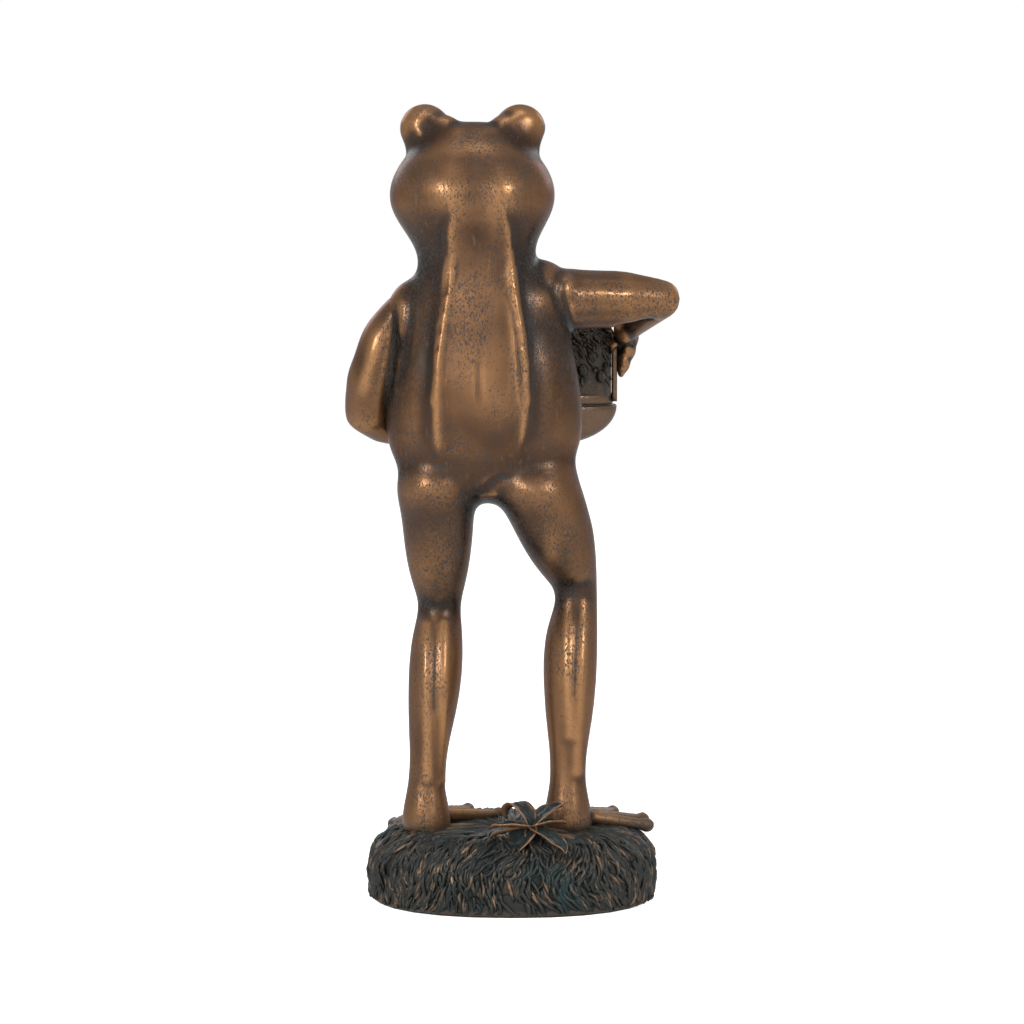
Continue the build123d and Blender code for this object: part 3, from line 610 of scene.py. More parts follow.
def nearest_on_path(places: np.ndarray, path: list[Point]) -> tuple[np.ndarray, np.ndarray]:
    """Distance from each place to a path, and how far along it that is.

    Args:
        places: The places.
        path: The path's points.

    Returns:
        The distances, and the shares from 0 at the path's start to 1 at its end.
    """
    corners = np.array(path, float)
    lengths = np.linalg.norm(np.diff(corners, axis=0), axis=1)
    starts = np.concatenate([[0.0], np.cumsum(lengths)])
    best = np.full(len(places), np.inf)
    along = np.zeros(len(places))
    for i in range(len(lengths)):
        run = corners[i + 1] - corners[i]
        share = np.clip((places - corners[i]) @ run / (lengths[i] ** 2), 0.0, 1.0)
        gap = np.linalg.norm(places - corners[i] - share[:, None] * run, axis=1)
        closer = gap < best
        best[closer] = gap[closer]
        along[closer] = (starts[i] + share[closer] * lengths[i]) / starts[-1]
    return best, along


@dataclass(frozen=True)
class Crease:
    """A ridge or groove along a path over the skin.

    Fields:
        path: Points near the skin.
        width: Distance over which it fades to each side.
        height: How far it rises, or falls where it is below 0.
        fade: Share of the length over which each end runs out.
        depth_share: How much a distance from back to front counts, so that paths may lie near the skin.
    """

    path: list[Point]
    width: float
    height: float
    fade: float = 0.15
    depth_share: float = 0.3

    def apply(self, places: np.ndarray) -> np.ndarray:
        """The height that it gives each place."""
        flat = np.array([1.0, self.depth_share, 1.0])
        path = [tuple(np.array(point) * flat) for point in self.path]
        gap, along = nearest_on_path(places * flat, path)
        profile = np.exp(-((gap / self.width) ** 2))
        ends = ease(along / self.fade) * ease((1.0 - along) / self.fade) if self.fade else 1.0
        return self.height * profile * ends


@dataclass(frozen=True)
class Swell:
    """A soft bump or dent.

    Fields:
        centre: Its middle.
        reach: Half sizes along each axis.
        height: How far it rises, or falls where it is below 0.
    """

    centre: Point
    reach: Point
    height: float

    def apply(self, places: np.ndarray) -> np.ndarray:
        """The height that it gives each place."""
        offset = (places - np.array(self.centre)) / np.array(self.reach)
        return self.height * np.exp(-np.einsum("ij,ij->i", offset, offset))


@dataclass(frozen=True)
class Strip:
    """A raised strip down the back between two edges, with a fall beside each.

    Fields:
        levels: Heights, the left and right edges there, and how proud the strip is.
        fall: Distance over which it fades outside its edges.
        depth: How deep the back reaches, so that the front isn't raised.
    """

    levels: list[tuple[float, float, float, float]]
    fall: float = 5.0
    edge: float = 0.9

    def reach(self, places: np.ndarray) -> tuple[np.ndarray, np.ndarray, np.ndarray]:
        """How proud it is at each place, how far outside it that is, and how much inside."""
        table = np.array(sorted(self.levels))
        z = places[:, 2]
        left, right, proud = (np.interp(z, table[:, 0], table[:, i]) for i in (1, 2, 3))
        outside = np.maximum(left - places[:, 0], places[:, 0] - right)
        return proud * ease(-places[:, 1] / 6.0), np.maximum(outside, 0.0), ease(0.5 - outside / self.edge)

    def apply(self, places: np.ndarray) -> np.ndarray:
        """The height that it gives each place."""
        proud, outside, inside = self.reach(places)
        return proud * (0.3 * inside + 0.7 * np.exp(-outside / self.fall))

    def painted_highlight_and_shade(self, places: np.ndarray) -> np.ndarray:
        """Painted light: how much lighter each place on the strip is coloured, as painted highlight, and how much
        darker beside it, as painted shade.
        """
        proud, outside, inside = self.reach(places)
        return np.minimum(proud, 1.0) * (0.24 * inside - 0.16 * (1.0 - inside) * np.exp(-outside / 8.0))


@dataclass
class Dresser:
    """Gives pieces their body, slot and material.

    Fields:
        finishes: The material of each slot.
    """

    finishes: dict[Slot, bpy.types.Material]

    def dress(
        self,
        piece: bpy.types.Object,
        slot: Slot,
        *nodes: str,
        material: bpy.types.Material | None = None,
    ) -> bpy.types.Object:
        """Makes a piece ride on the figure and stand for solids.

        Args:
            piece: The piece.
            slot: The record's slot that it takes its finish from.
            nodes: The solids that it replaces.
            material: Its material, where the slot's own isn't used.

        Returns:
            The piece.
        """
        piece.data.materials.clear()
        piece.data.materials.append(material or self.finishes[slot])
        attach(piece, BODY)
        if nodes:
            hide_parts(*nodes)
        log.info("%s: %d faces", piece.name, len(piece.data.polygons))
        return piece


def node_copy(frame: dict, *names: str) -> bmesh.types.BMesh:
    """A bmesh with copies of solids, each with its doubles merged.

    Args:
        frame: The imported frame.
        names: The solids' names.

    Returns:
        The bmesh.
    """
    bm = bmesh.new()
    for name in names:
        bm.from_mesh(frame["nodes"][name].data)
    bmesh.ops.remove_doubles(bm, verts=bm.verts, dist=0.002 * MM)
    return bm


def add_ball(bm: bmesh.types.BMesh, centre: Point, reach: Point, turn: Matrix | None = None) -> None:
    """Adds an ellipsoid to a bmesh.

    Args:
        bm: The bmesh.
        centre: Its middle.
        reach: Its half sizes.
        turn: How it is turned.
    """
    place = Matrix.Translation(Vector(centre) * MM)
    shape = Matrix.Diagonal((*(r * MM for r in reach), 1.0))
    bmesh.ops.create_uvsphere(
        bm,
        u_segments=32,
        v_segments=20,
        radius=1.0,
        matrix=place @ (turn or Matrix.Identity(4)) @ shape,
    )


def remeshed(piece: bpy.types.Object, voxel: float) -> bpy.types.Object:
    """Joins a piece's overlapping shells into one even skin.

    Args:
        piece: The piece.
        voxel: The skin's grain, in millimetres.

    Returns:
        The same piece.
    """
    modifier = piece.modifiers.new("skin", "REMESH")
    modifier.mode = "VOXEL"
    modifier.voxel_size = voxel * MM
    modifier.use_smooth_shade = True
    return evaluated(piece)


def outer_shell(mesh: bpy.types.Mesh) -> None:
    """Deletes all of a mesh but its largest connected shell."""
    relaxer = Relaxer(mesh)
    label = np.arange(relaxer.count)
    while True:
        lowest = label.copy()
        np.minimum.at(lowest, relaxer.target, label[relaxer.source])
        lowest = lowest[lowest]
        if np.array_equal(lowest, label):
            break
        label = lowest
    shells, sizes = np.unique(label, return_counts=True)
    keep = shells[np.argmax(sizes)]
    bm = bmesh.new()
    bm.from_mesh(mesh)
    bm.verts.ensure_lookup_table()
    doomed = [bm.verts[i] for i in np.nonzero(label != keep)[0]]
    bmesh.ops.delete(bm, geom=doomed, context="VERTS")
    bm.to_mesh(mesh)
    bm.free()


def half_of(piece: bpy.types.Object, name: str, origin: Point, normal: Point) -> bpy.types.Object:
    """The part of a piece that lies on one side of a plane, closed with a flat face.

    Args:
        piece: The piece, which stays whole.
        name: The new piece's name.
        origin: A point on the plane.
        normal: Points away from the part that is kept.

    Returns:
        The new piece.
    """
    bm = bmesh.new()
    bm.from_mesh(piece.data)
    cut = bmesh.ops.bisect_plane(
        bm,
        geom=[*bm.verts, *bm.edges, *bm.faces],
        plane_co=Vector(origin) * MM,
        plane_no=Vector(normal),
        clear_outer=True,
    )
    rim = [e for e in cut["geom_cut"] if isinstance(e, bmesh.types.BMEdge)]
    for edge in rim:
        edge.smooth = False
    caps = bmesh.ops.edgeloop_fill(bm, edges=rim)["faces"]
    made = object_from(name, bm)
    for face in made.data.polygons[-len(caps) :] if caps else []:
        face.use_smooth = False
    return made


@dataclass
class Figure:
    """The frog's skin: torso, legs and arms, cut apart where the castings are.

    Fields:
        grain: Size of the skin's faces.
        hip_z: Height of the saw cut between the torso and the legs.
        seam: A point of the raised arm's seam.
        seam_lean: Tilt of the seam, in degrees.
    """

    grain: float = 0.8
    hip_z: float = 148.0
    seam: Point = (21.2, 2.5, 227.5)
    seam_lean: float = 10.0
    fillets: tuple[tuple[Point, Point], ...] = (
        ((9.5, 1.5, 232.0), (12.5, 12.0, 11.0)),
        ((19.0, 2.0, 231.0), (8.0, 11.0, 8.2)),
        ((-9.5, -1.0, 158.0), (10.0, 15.0, 7.5)),
        ((-34.2, 4.0, 285.5), (6.0, 8.5, 7.5)),
        ((4.6, 4.0, 285.5), (6.0, 8.5, 7.5)),
        ((-27.2, 4.5, 289.5), (7.5, 7.5, 6.0)),
        ((-3.2, 4.5, 290.0), (7.5, 7.5, 6.0)),
        ((-30.5, -3.0, 160.5), (12.0, 14.5, 10.0)),
        ((11.5, -2.5, 161.5), (13.5, 14.5, 10.0)),
        ((-25.5, 0.0, 291.5), (6.5, 7.0, 5.6)),
        ((-2.5, 0.0, 291.8), (6.5, 7.0, 5.6)),
        ((-38.5, 1.0, 223.0), (9.0, 10.0, 13.0)),
        ((-44.5, 3.0, 201.0), (5.5, 8.5, 27.0)),
        ((43.6, 38.0, 214.8), (4.3, 7.0, 5.6)),
        ((45.6, 46.5, 211.5), (4.0, 6.0, 5.0)),
        ((44.9, 46.5, 207.0), (3.6, 6.2, 5.0)),
        ((43.6, 46.5, 202.5), (2.8, 6.0, 5.0)),
        ((42.6, 46.5, 199.5), (1.7, 5.0, 4.0)),
    )
    creases: list[Crease] = field(default_factory=list)
    swells: list[Swell] = field(default_factory=list)
    strips: list[Strip] = field(default_factory=list)
    # Painted light in the broad tone: painted shade (below 0) on the hand and its hollow, between the left arm and the
    # body, beside the neck folds, behind the knees, at the crotch and inside the thighs; painted highlight (above 0) on
    # the back of the head, the top of the right upper arm and the calves.
    rubs_and_painted_light: tuple[Swell, ...] = (
        Swell((44, 46, 205), (16, 22, 16), -0.8),
        Swell((-45, -4, 198), (5, 12, 26), -0.6),
        Swell((-35, -8, 245), (9, 16, 26), -0.12),
        Swell((12, -8, 248), (9, 16, 22), -0.12),
        Swell((-12, -16, 284), (16, 9, 7), 0.15),
        Swell((-12, -20, 268), (20, 9, 9), 0.25),
        Swell((44, -6, 229), (24, 9, 7), 0.3),
        Swell((-29, -8, 115), (8, 14, 5), -0.5),
        Swell((23, -8, 122), (9, 14, 5), -0.5),
        Swell((-9, -12, 152), (12, 14, 6), -0.4),
        Swell((-22, -12, 125), (6, 14, 14), -0.35),
        Swell((6, -10, 130), (7, 14, 12), -0.35),
        Swell((-29, -14, 85), (8, 12, 24), 0.3),
        Swell((24, -14, 90), (8, 12, 24), 0.3),
    )

    def lay_out_relief(self) -> None:
        """Lists the ridges, grooves and swells of the skin."""
        back = -21.0
        left_fold = [(-22.6, back, 261), (-23.0, back, 245), (-23.8, back, 232), (-26.0, back, 219),
                     (-27.6, back, 206), (-28.4, -22, 192), (-28.2, back, 180), (-27.4, back, 168)]
        right_fold = [(-2.4, back, 261), (-0.6, back, 245), (1.0, back, 231), (3.6, back, 216),
                      (5.2, back, 204), (5.3, -22, 192), (4.5, back, 183), (3.0, back, 172)]
        inner_fold = [(-2.6, back, 248), (-1.6, back, 226), (-0.2, back, 216), (0.8, back, 206),
                      (1.6, back, 198), (2.6, -22, 189), (3.2, -22, 183)]
        self.strips = [
            Strip([(267, -24.0, -3.0, 0.0), (259, -22.6, -2.4, 0.9), (245, -23.0, -0.6, 2.0),
                   (231, -23.8, 1.0, 2.2), (216, -26.2, 3.6, 1.7), (204, -27.8, 5.2, 1.1),
                   (192, -28.4, 5.3, 0.7), (180, -28.2, 4.5, 0.4), (166, -27.0, 2.0, 0.0)]),
        ]
        self.creases = [
            Crease(left_fold, 1.9, 1.25, 0.1),
            Crease(right_fold, 1.5, 1.0, 0.1),
            Crease(inner_fold, 1.0, 0.45, 0.12),
            Crease([(x - 4.2, y, z) for x, y, z in left_fold[1:]], 3.2, -0.35, 0.15),
            Crease([(x + 3.8, y, z) for x, y, z in right_fold[1:]], 3.0, -0.35, 0.15),
            Crease([(x + 1.9, y, z) for x, y, z in inner_fold], 0.9, -0.45, 0.12),
            Crease([(-12.6, back, 209), (-12.3, -22, 199), (-12.2, -22, 188)], 1.0, -0.35, 0.3),
            Crease([(-16.2, -17, 156), (-12.4, -17, 156), (-9.4, -17, 157.7), (-6.4, -17, 160.3),
                    (-3.4, -16, 161.4), (2, -15, 161)], 1.7, -0.5, 0.3),
            Crease([(-14, -14, 153), (-9, -14, 154), (-4, -14, 155.5)], 1.4, 0.4, 0.3),
            Crease([(-39, -2, 112), (-34, -5, 111), (-27, -6, 111), (-19, -2, 112.5)], 2.4, -0.25, 0.3),
            Crease([(13, -2, 118.5), (20, -5, 119), (27, -5.5, 119.5), (34, -2, 120)], 2.4, -0.25, 0.3),
            Crease([(18.6, -12, 241), (18.9, -12, 236), (19.6, -11, 229), (21.3, -9, 222), (23.4, -6, 215),
                    (24, 2, 213)], 0.9, -0.9, 0.08),
            Crease([(38, 6, 215.5), (47, 10, 218), (56, 12, 221.5)], 1.6, -2.0, 0.2),
            Crease([(26, -9, 231), (38, -6, 230), (50, -2, 229.5)], 2.6, 0.55, 0.3),
            Crease([(-46.5, -7, 222), (-50, -5, 213), (-54.5, -3, 200), (-57, 0, 188)], 2.4, 0.8, 0.3),
            Crease([(-41.2, -9, 231), (-40.9, -9, 222), (-40.7, -9, 210)], 2.3, 0.8, 0.35),
            Crease([(-38.4, -9, 231), (-38.2, -9, 220), (-39.4, -9, 206), (-42.5, -8, 192)], 2.2, -0.6, 0.25),
            Crease([(-44.2, -7, 228), (-44.2, -7, 214), (-45.4, -6, 200), (-46.5, -5, 185)], 1.7, -0.5, 0.25),
        ]
        self.swells = [
            Swell((-22.6, back, 268), (7.5, 9, 8.5), 2.0),
            Swell((-3.0, back, 268), (6.5, 9, 8.0), 1.8),
            Swell((-12.8, back, 255), (5.5, 8, 10), -1.2),
            Swell((-12.8, -16, 282), (13, 9, 5.5), 0.7),
            Swell((-12.4, back, 280), (16, 9, 3.5), -0.35),
            Swell((-8.5, -22, 189), (7.5, 8, 9.5), 0.65),
            Swell((-12.0, -22, 177), (13, 8, 7), -0.3),
            Swell((13.5, -14, 231), (4.2, 8, 7.5), 0.9),
            Swell((11.0, -14, 216), (6.5, 8, 8.0), -0.8),
            Swell((26, 4, 157), (7, 14, 8), 0.9),
            Swell((-52.5, 0, 214), (7, 14, 15), 2.4),
            Swell((-61.0, 0, 188), (7, 14, 13), 1.1),
            Swell((-33, -13.5, 100), (5.5, 5, 5), 0.5),
            Swell((2, -12, 128), (7, 6, 9), -0.9),
            Swell((14.5, -12, 132), (4, 6, 12), 0.6),
        ]
        for sign, centre in ((-1, (-31.6, -4.0, 293.2)), (1, (4.8, -4.0, 293.6))):
            self.swells.append(Swell(centre, (2.8, 5, 3.2), -0.2 if sign < 0 else -0.15))
            x, y, z = centre
            ring = [(x - 4.3 * math.sin(a), y, z + 4.6 * math.cos(a)) for a in
                    (math.radians(turn) for turn in (20, 60, 100, 140, 175))]
            self.creases.append(Crease(ring, 1.8, 0.4 if sign < 0 else 0.15, 0.25))
            self.swells.append(Swell((x + sign * 3.5, 2, z), (9, 10, 8), 0.9))
        for x, lean, top, low in ((-33.2, 1.2, 108, 44), (-25.4, -0.6, 108, 42), (21.0, 1.0, 115, 60), (27.8, -3.0, 116, 46)):
            self.creases.append(Crease(
                [(x, -7, top), (x, -10, top - 8), (mixed(x, x + lean, 0.4), -12, 88),
                 (x + lean, -11.5, 66), (x + lean, -12, low)], 2.1, 0.7, 0.06))
        self.creases.append(Crease([(-29.3, -8, 107), (-29.2, -12, 92), (-29.8, -12, 70)], 1.5, -0.5, 0.12))
        self.creases.append(Crease([(24.3, -8, 115), (24.3, -12, 98), (23.4, -12, 74)], 1.5, -0.5, 0.12))
        self.creases += [
            Crease([(-38, 24, 254), (-30, 34, 250), (-15, 37.5, 247.5), (0, 34, 250), (8, 24, 254)], 1.1, -1.5, 0.08),
            Crease([(-38, 25, 251), (-30, 35, 247), (-15, 38.5, 244.5), (0, 35, 247), (8, 25, 251)], 1.6, 0.5, 0.1),
        ]
        for sign in (-1, 1):
            self.swells.append(Swell((-15 + sign * 5.5, 36, 262), (1.3, 2.5, 0.9), -1.6))
            self.swells.append(Swell((-15 + sign * 5.5, 36, 263.5), (2.2, 2.5, 1.6), 0.7))

    def skin(self, frame: dict) -> bpy.types.Object:
        """The whole figure, without the lowered arm, as one skin.

        Args:
            frame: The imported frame.

        Returns:
            The skin.
        """
        bm = node_copy(
            frame, "torso", "left_leg", "right_leg", "right_arm",
            "left_hip_key", "right_hip_key", "right_shoulder_key",
        )
        for centre, reach in self.fillets:
            add_ball(bm, centre, reach)
        whole = remeshed(object_from("figure_skin", bm), self.grain)
        outer_shell(whole.data)
        return whole

    def sculpt(self, piece: bpy.types.Object, rounds: int = 14) -> None:
        """Softens a skin and works its relief into it.

        Args:
            piece: The skin.
            rounds: How much it is softened.
        """
        mesh = piece.data
        places = coordinates(mesh)
        relaxer = Relaxer(mesh)
        low = ease((places[:, 2] - 34.0) / 14.0)
        hand = ease(np.abs(np.linalg.norm((places - (42, 46, 205)) / (14, 14, 16), axis=1)) - 0.6)
        share = 0.08 + 0.42 * np.minimum(low, hand)
        places = relaxer.relaxed(places, rounds, share)
        hips = ease(1.3 - np.abs(places[:, 2] - 158.0) / 15.0) * ease((30.0 - places[:, 1]) / 12.0)
        shoulder = np.linalg.norm((places - (-38, 0, 224)) / (14, 20, 20), axis=1)
        soft = np.maximum(hips, ease(1.4 - shoulder))
        for centre in ((-30.0, -4, 286.5), (4.5, -4, 287.0)):
            root = np.linalg.norm((places - centre) / (9, 10, 7), axis=1)
            soft = np.maximum(soft, ease(1.5 - root))
        places = relaxer.relaxed(places, 120, 0.5 * soft)
        move_to(mesh, places)
        normals = vertex_normals(mesh)
        lift = sum(form.apply(places) for form in (*self.creases, *self.swells, *self.strips))
        move_to(mesh, places + normals * lift[:, None])
        # The broad tone gets painted highlight and painted shade from the listed swells and from the strips.
        wear_and_painted_light = sum(form.apply(places) for form in self.rubs_and_painted_light)
        wear_attributes(mesh, wear_and_painted_light=wear_and_painted_light + sum(strip.painted_highlight_and_shade(places) for strip in self.strips))

    def build(self, frame: dict, dresser: Dresser) -> list[bpy.types.Object]:
        """Makes the castings of the figure.

        Args:
            frame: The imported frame.
            dresser: Gives them their finish.

        Returns:
            The pieces.
        """
        self.lay_out_relief()
        whole = self.skin(frame)
        self.sculpt(whole)
        lean = math.radians(self.seam_lean)
        out = (math.cos(lean), 0.0, math.sin(lean))
        back_in = tuple(-c for c in out)
        above = half_of(whole, "body_above_hips", (0, 0, self.hip_z), (0, 0, -1))
        below = half_of(whole, "both_legs", (0, 0, self.hip_z), (0, 0, 1))
        torso = half_of(above, "torso_skin", self.seam, out)
        right_arm = half_of(above, "right_arm_skin", self.seam, back_in)
        left_leg = half_of(below, "left_leg_skin", (-9.5, 0, 0), (1, 0, 0))
        right_leg = half_of(below, "right_leg_skin", (-9.5, 0, 0), (-1, 0, 0))
        left_arm = remeshed(object_from("left_arm_skin", node_copy(frame, "left_arm", "left_shoulder_key")), self.grain)
        outer_shell(left_arm.data)
        self.sculpt(left_arm, 60)
        for spare in (whole, above, below):
            bpy.data.objects.remove(spare)
        made = {"torso": torso, "left_leg": left_leg, "right_leg": right_leg,
                "right_arm": right_arm, "left_arm": left_arm}
        for node, piece in made.items():
            dresser.dress(piece, Slot.BRONZE, node)
        return list(made.values())


@dataclass
class Mound:
    """The base: an oval mound with its hollow, and the grass that hangs over it.

    Fields give its outline, the shape of its side from the ground up, and its grass.
    """

    length: float = 109.6
    depth: float = 101.0
    top: float = 27.0
    foot: float = 0.6
    shoulder: float = 15.0
    plateau: float = 0.68
    power: float = 2.25
    tuck: float = 1.2
    rim: float = 10.0
    hollow: float = 9.6
    around: int = 220
    up: int = 60
    tufts: int = 22
    tuft_proud: float = 0.5
    tuft_fall: float = 1.4
    tuft_lean: float = 10.0
    tuft_strengths: tuple[float, ...] = (1.0, 0.55, 0.85, 0.5, 0.95, 0.7, 0.45)
    sunk: float = 0.75
    strands: int = 2900
    strand_length: float = 9.5
    strand_width: float = 1.5
    seed: int = 7

    def share_and_height(self, climb: float) -> tuple[float, float]:
        """Outline share and height at a climb from 0 at the foot to 1 at the middle of the top.

        Args:
            climb: The climb.

        Returns:
            The share of the full outline, and the height.
        """
        low = self.top - self.shoulder
        if climb < 0.25:
            rise = climb / 0.25
            share = mixed(1 - 2 * self.tuck / self.length, 1.0, math.sin(rise * math.pi / 2))
            return share, mixed(self.foot, low, rise)
        if climb < 0.75:
            turn = (climb - 0.25) / 0.5 * math.pi / 2
            return mixed(self.plateau, 1.0, math.cos(turn)), low + self.shoulder * math.sin(turn)
        return self.plateau * (1.0 - (climb - 0.75) / 0.25), self.top

    def place(self, turn: float, climb: float) -> Vector:
        """A point of the mound's skin.

        Args:
            turn: Angle round the mound.
            climb: The climb.

        Returns:
            The point.
        """
        share, z = self.share_and_height(climb)
        step = self.tuft_step(turn, z) * min(share / self.plateau, 1.0)
        x, y = oval(turn, self.length / 2 * share + step, self.depth / 2 * share + step, self.power)
        return Vector((x, y, z))

    def tuft_step(self, turn: float, z: float) -> float:
        """How far the broad tufts of the solid stand out, or in, at a turn and a height.

        Args:
            turn: Angle round the mound from its back.
            z: The height.

        Returns:
            The step outward.
        """
        climb = (z - self.foot) / (self.top - self.foot)
        low = self.top - self.shoulder
        relief = min(max((z - self.foot) / (low - self.foot), 0.0), 1.0)
        leaned = turn - math.radians(self.tuft_lean) * (1 - 2 * climb) * math.sin(turn)
        spot = leaned / math.pi * self.tufts % (2 * self.tufts)
        index = int(spot)
        share = 0.5 - 0.5 * math.cos(math.pi * (spot - index))
        steps = []
        for i in (index, (index + 1) % (2 * self.tufts)):
            size = self.tuft_strengths[i // 2 % len(self.tuft_strengths)]
            steps.append(size * (-self.tuft_fall if i % 2 else self.tuft_proud))
        return relief * mixed(steps[0], steps[1], share)

    def lumps(self, point: Vector) -> float:
        """How far the ground swells at a point."""
        return 0.35 * noise.noise(point * 0.12) + 0.3 * noise.noise(point * 0.3)

    def skin_point(self, turn: float, climb: float) -> tuple[Vector, Vector]:
        """A point of the lumpy ground and its outward normal.

        Args:
            turn: Angle round the mound.
            climb: The climb.

        Returns:
            The point and the normal.
        """
        small = 0.004
        climb = min(max(climb, small), 0.97)
        point = self.place(turn, climb)
        east = self.place(turn + small, climb) - self.place(turn - small, climb)
        north = self.place(turn, climb + small) - self.place(turn, climb - small)
        normal = east.cross(north).normalized()
        fade = min(climb / 0.1, 1.0)
        return point + normal * (self.lumps(point) - self.sunk) * fade, normal

    def ground(self) -> bpy.types.Object:
        """The mound itself, with the hollow under it.

        Returns:
            The piece.
        """
        bm = bmesh.new()
        bmesh.ops.create_grid(bm, x_segments=self.around, y_segments=self.up + 4, size=1.0)
        rows = self.up + 4
        inner = 1 - 2 * self.rim / self.depth
        roof = inner - 2 * (self.hollow - self.foot) / 3 / self.depth
        below = ((0.0, self.hollow), (roof, self.hollow), (inner, self.foot))
        for vert in bm.verts:
            turn = (vert.co.x + 1.0) * math.pi
            row = round((vert.co.y + 1.0) / 2.0 * rows)
            if row < len(below):
                share, z = below[row]
                x, y = oval(turn, self.length / 2 * share, self.depth / 2 * share, self.power)
                vert.co = Vector((x, y, z)) * MM
            else:
                climb = (row - len(below)) / (rows - len(below))
                point = self.place(turn, climb)
                if 0.02 < climb < 0.98:
                    point = self.skin_point(turn, climb)[0]
                vert.co = point * MM
        bmesh.ops.remove_doubles(bm, verts=bm.verts, dist=0.02 * MM)
        bmesh.ops.recalc_face_normals(bm, faces=bm.faces)
        return object_from("mound_ground", bm)

    def strand_form(self) -> bpy.types.Mesh:
        """One grass strand of unit length along +X: a tapered ridge with closed ends.

        Returns:
            The mesh that the strands are bent from.
        """
        bm = bmesh.new()
        bmesh.ops.create_circle(bm, cap_ends=True, segments=5, radius=0.5)
        face = bm.faces[:][0]
        stations = ((0.12, 0.9), (0.35, 1.0), (0.6, 0.82), (0.82, 0.5), (1.0, 0.1))
        reach, girth = 0.0, 0.35
        bmesh.ops.scale(bm, vec=(girth, girth, 1.0), verts=bm.verts)
        for step, width in stations:
            grown = bmesh.ops.extrude_discrete_faces(bm, faces=[face])["faces"]
            face = grown[0]
            bmesh.ops.translate(bm, vec=(0, 0, step - reach), verts=face.verts)
            bmesh.ops.scale(bm, vec=(width / girth, width / girth, 1.0), verts=face.verts)
            reach, girth = step, width
        bmesh.ops.remove_doubles(bm, verts=bm.verts, dist=0.0001)
        mesh = bpy.data.meshes.new("strand_form")
        bm.to_mesh(mesh)
        bm.free()
        return mesh

    def grass(self) -> bpy.types.Object:
        """Strands in clumps that hang down the side and lie over the top.

        Returns:
            The piece.
        """
        rng = random.Random(self.seed)
        form = self.strand_form()
        bm = bmesh.new()
        ridge: list[float] = []
        for i in range(self.strands):
            turn = rng.uniform(0, 2 * math.pi)
            climb = 0.1 + 0.86 * rng.random() ** 1.15
            flow = noise.noise(Vector((math.cos(turn) * 2.2, math.sin(turn) * 2.2, climb * 3.0)))
            curl = noise.noise(Vector((math.cos(turn) * 4.1 + 9, math.sin(turn) * 4.1, climb * 6.0)))
            length = self.strand_length * rng.uniform(0.8, 1.5)
            width = self.strand_width * rng.uniform(0.8, 1.5)
            heading = 1.0 * flow - 1.3 * curl + rng.uniform(-0.2, 0.2)
            bend = 3.6 * curl + rng.uniform(-0.35, 0.35)
            lift = rng.uniform(0.1, 1.0) + 2.2 * max(climb - 0.7, 0.0) * rng.random()
            first = len(bm.verts)
            bm.from_mesh(form)
            bm.verts.ensure_lookup_table()
            self.bend_strand(bm.verts[first:], turn, climb, length, width, heading, bend, lift)
            wear_and_painted_light = max(rng.gauss(0.15, 0.45), 0.0) * (0.5 + lift)
            ridge += [wear_and_painted_light * (max(v.co.y, 0.0) * 2.0) ** 2 * min(v.co.z * 2.5, 1.0) for v in form.vertices]
        bpy.data.meshes.remove(form)
        grass = object_from("grass_strands", bm)
        for name, values in (("wear", [0.45 + 0.5 * min(r, 1.0) for r in ridge]), ("broad", [0.5] * len(ridge))):
            layer = grass.data.attributes.new(name, "FLOAT", "POINT")
            layer.data.foreach_set("value", values)
        return grass

    def bend_strand(
        self,
        verts: list[bmesh.types.BMVert],
        turn: float,
        climb: float,
        length: float,
        width: float,
        heading: float,
        bend: float,
        lift: float,
    ) -> None:
        """Lays one strand along the ground.

        Args:
            verts: The strand's vertices, in its unit form.
            turn: Where its root is, round the mound.
            climb: Where its root is, up the mound.
            length: Its length.
            width: Its width.
            heading: Sideways turn of its flow, in radians.
            bend: Change of heading along it.
            lift: How far its middle stands off the ground.
        """
        steps = 10
        radius = 0.5 * math.sqrt(self.length * self.depth) / 2 * 2
        route = []
        here_turn, here_climb = turn, climb
        for i in range(steps + 1):
            point, normal = self.skin_point(here_turn, here_climb)
            route.append((point, normal))
            angle = heading + bend * i / steps
            down = length / steps * math.cos(angle)
            aside = length / steps * math.sin(angle)
            share, _ = self.share_and_height(min(max(here_climb, 0.0), 0.9))
            here_climb = max(here_climb - down / 62.0, 0.02)
            here_turn += aside / (radius * max(share, 0.3))
        for vert in verts:
            x, y, z = vert.co
            spot = min(z, 1.0) * steps
            k = min(int(spot), steps - 1)
            part = spot - k
            point = route[k][0].lerp(route[k + 1][0], part)
            normal = route[k][1].lerp(route[k + 1][1], part).normalized()
            ahead = (route[k + 1][0] - route[k][0]).normalized()
            across = normal.cross(ahead).normalized()
            rise = lift * math.sin(math.pi * min(z * 0.9 + 0.1, 1.0))
            spot = point + across * x * width + normal * (y * width * 0.95 + rise)
            spot.y = max(spot.y, 0.05 - self.depth / 2 - self.tuft_proud)
            vert.co = spot * MM

    def build(self, dresser: Dresser, ground_finish: bpy.types.Material) -> list[bpy.types.Object]:
        """Makes the mound and its grass.

        Args:
            dresser: Gives them their finish.
            ground_finish: The dark patina between the strands.

        Returns:
            The pieces.
        """
        ground = self.ground()
        wear_attributes(ground.data, 0.2)
        grass = self.grass()
        dresser.dress(ground, Slot.PATINA, "base_mound", material=ground_finish)
        dresser.dress(grass, Slot.PATINA)
        return [ground, grass]


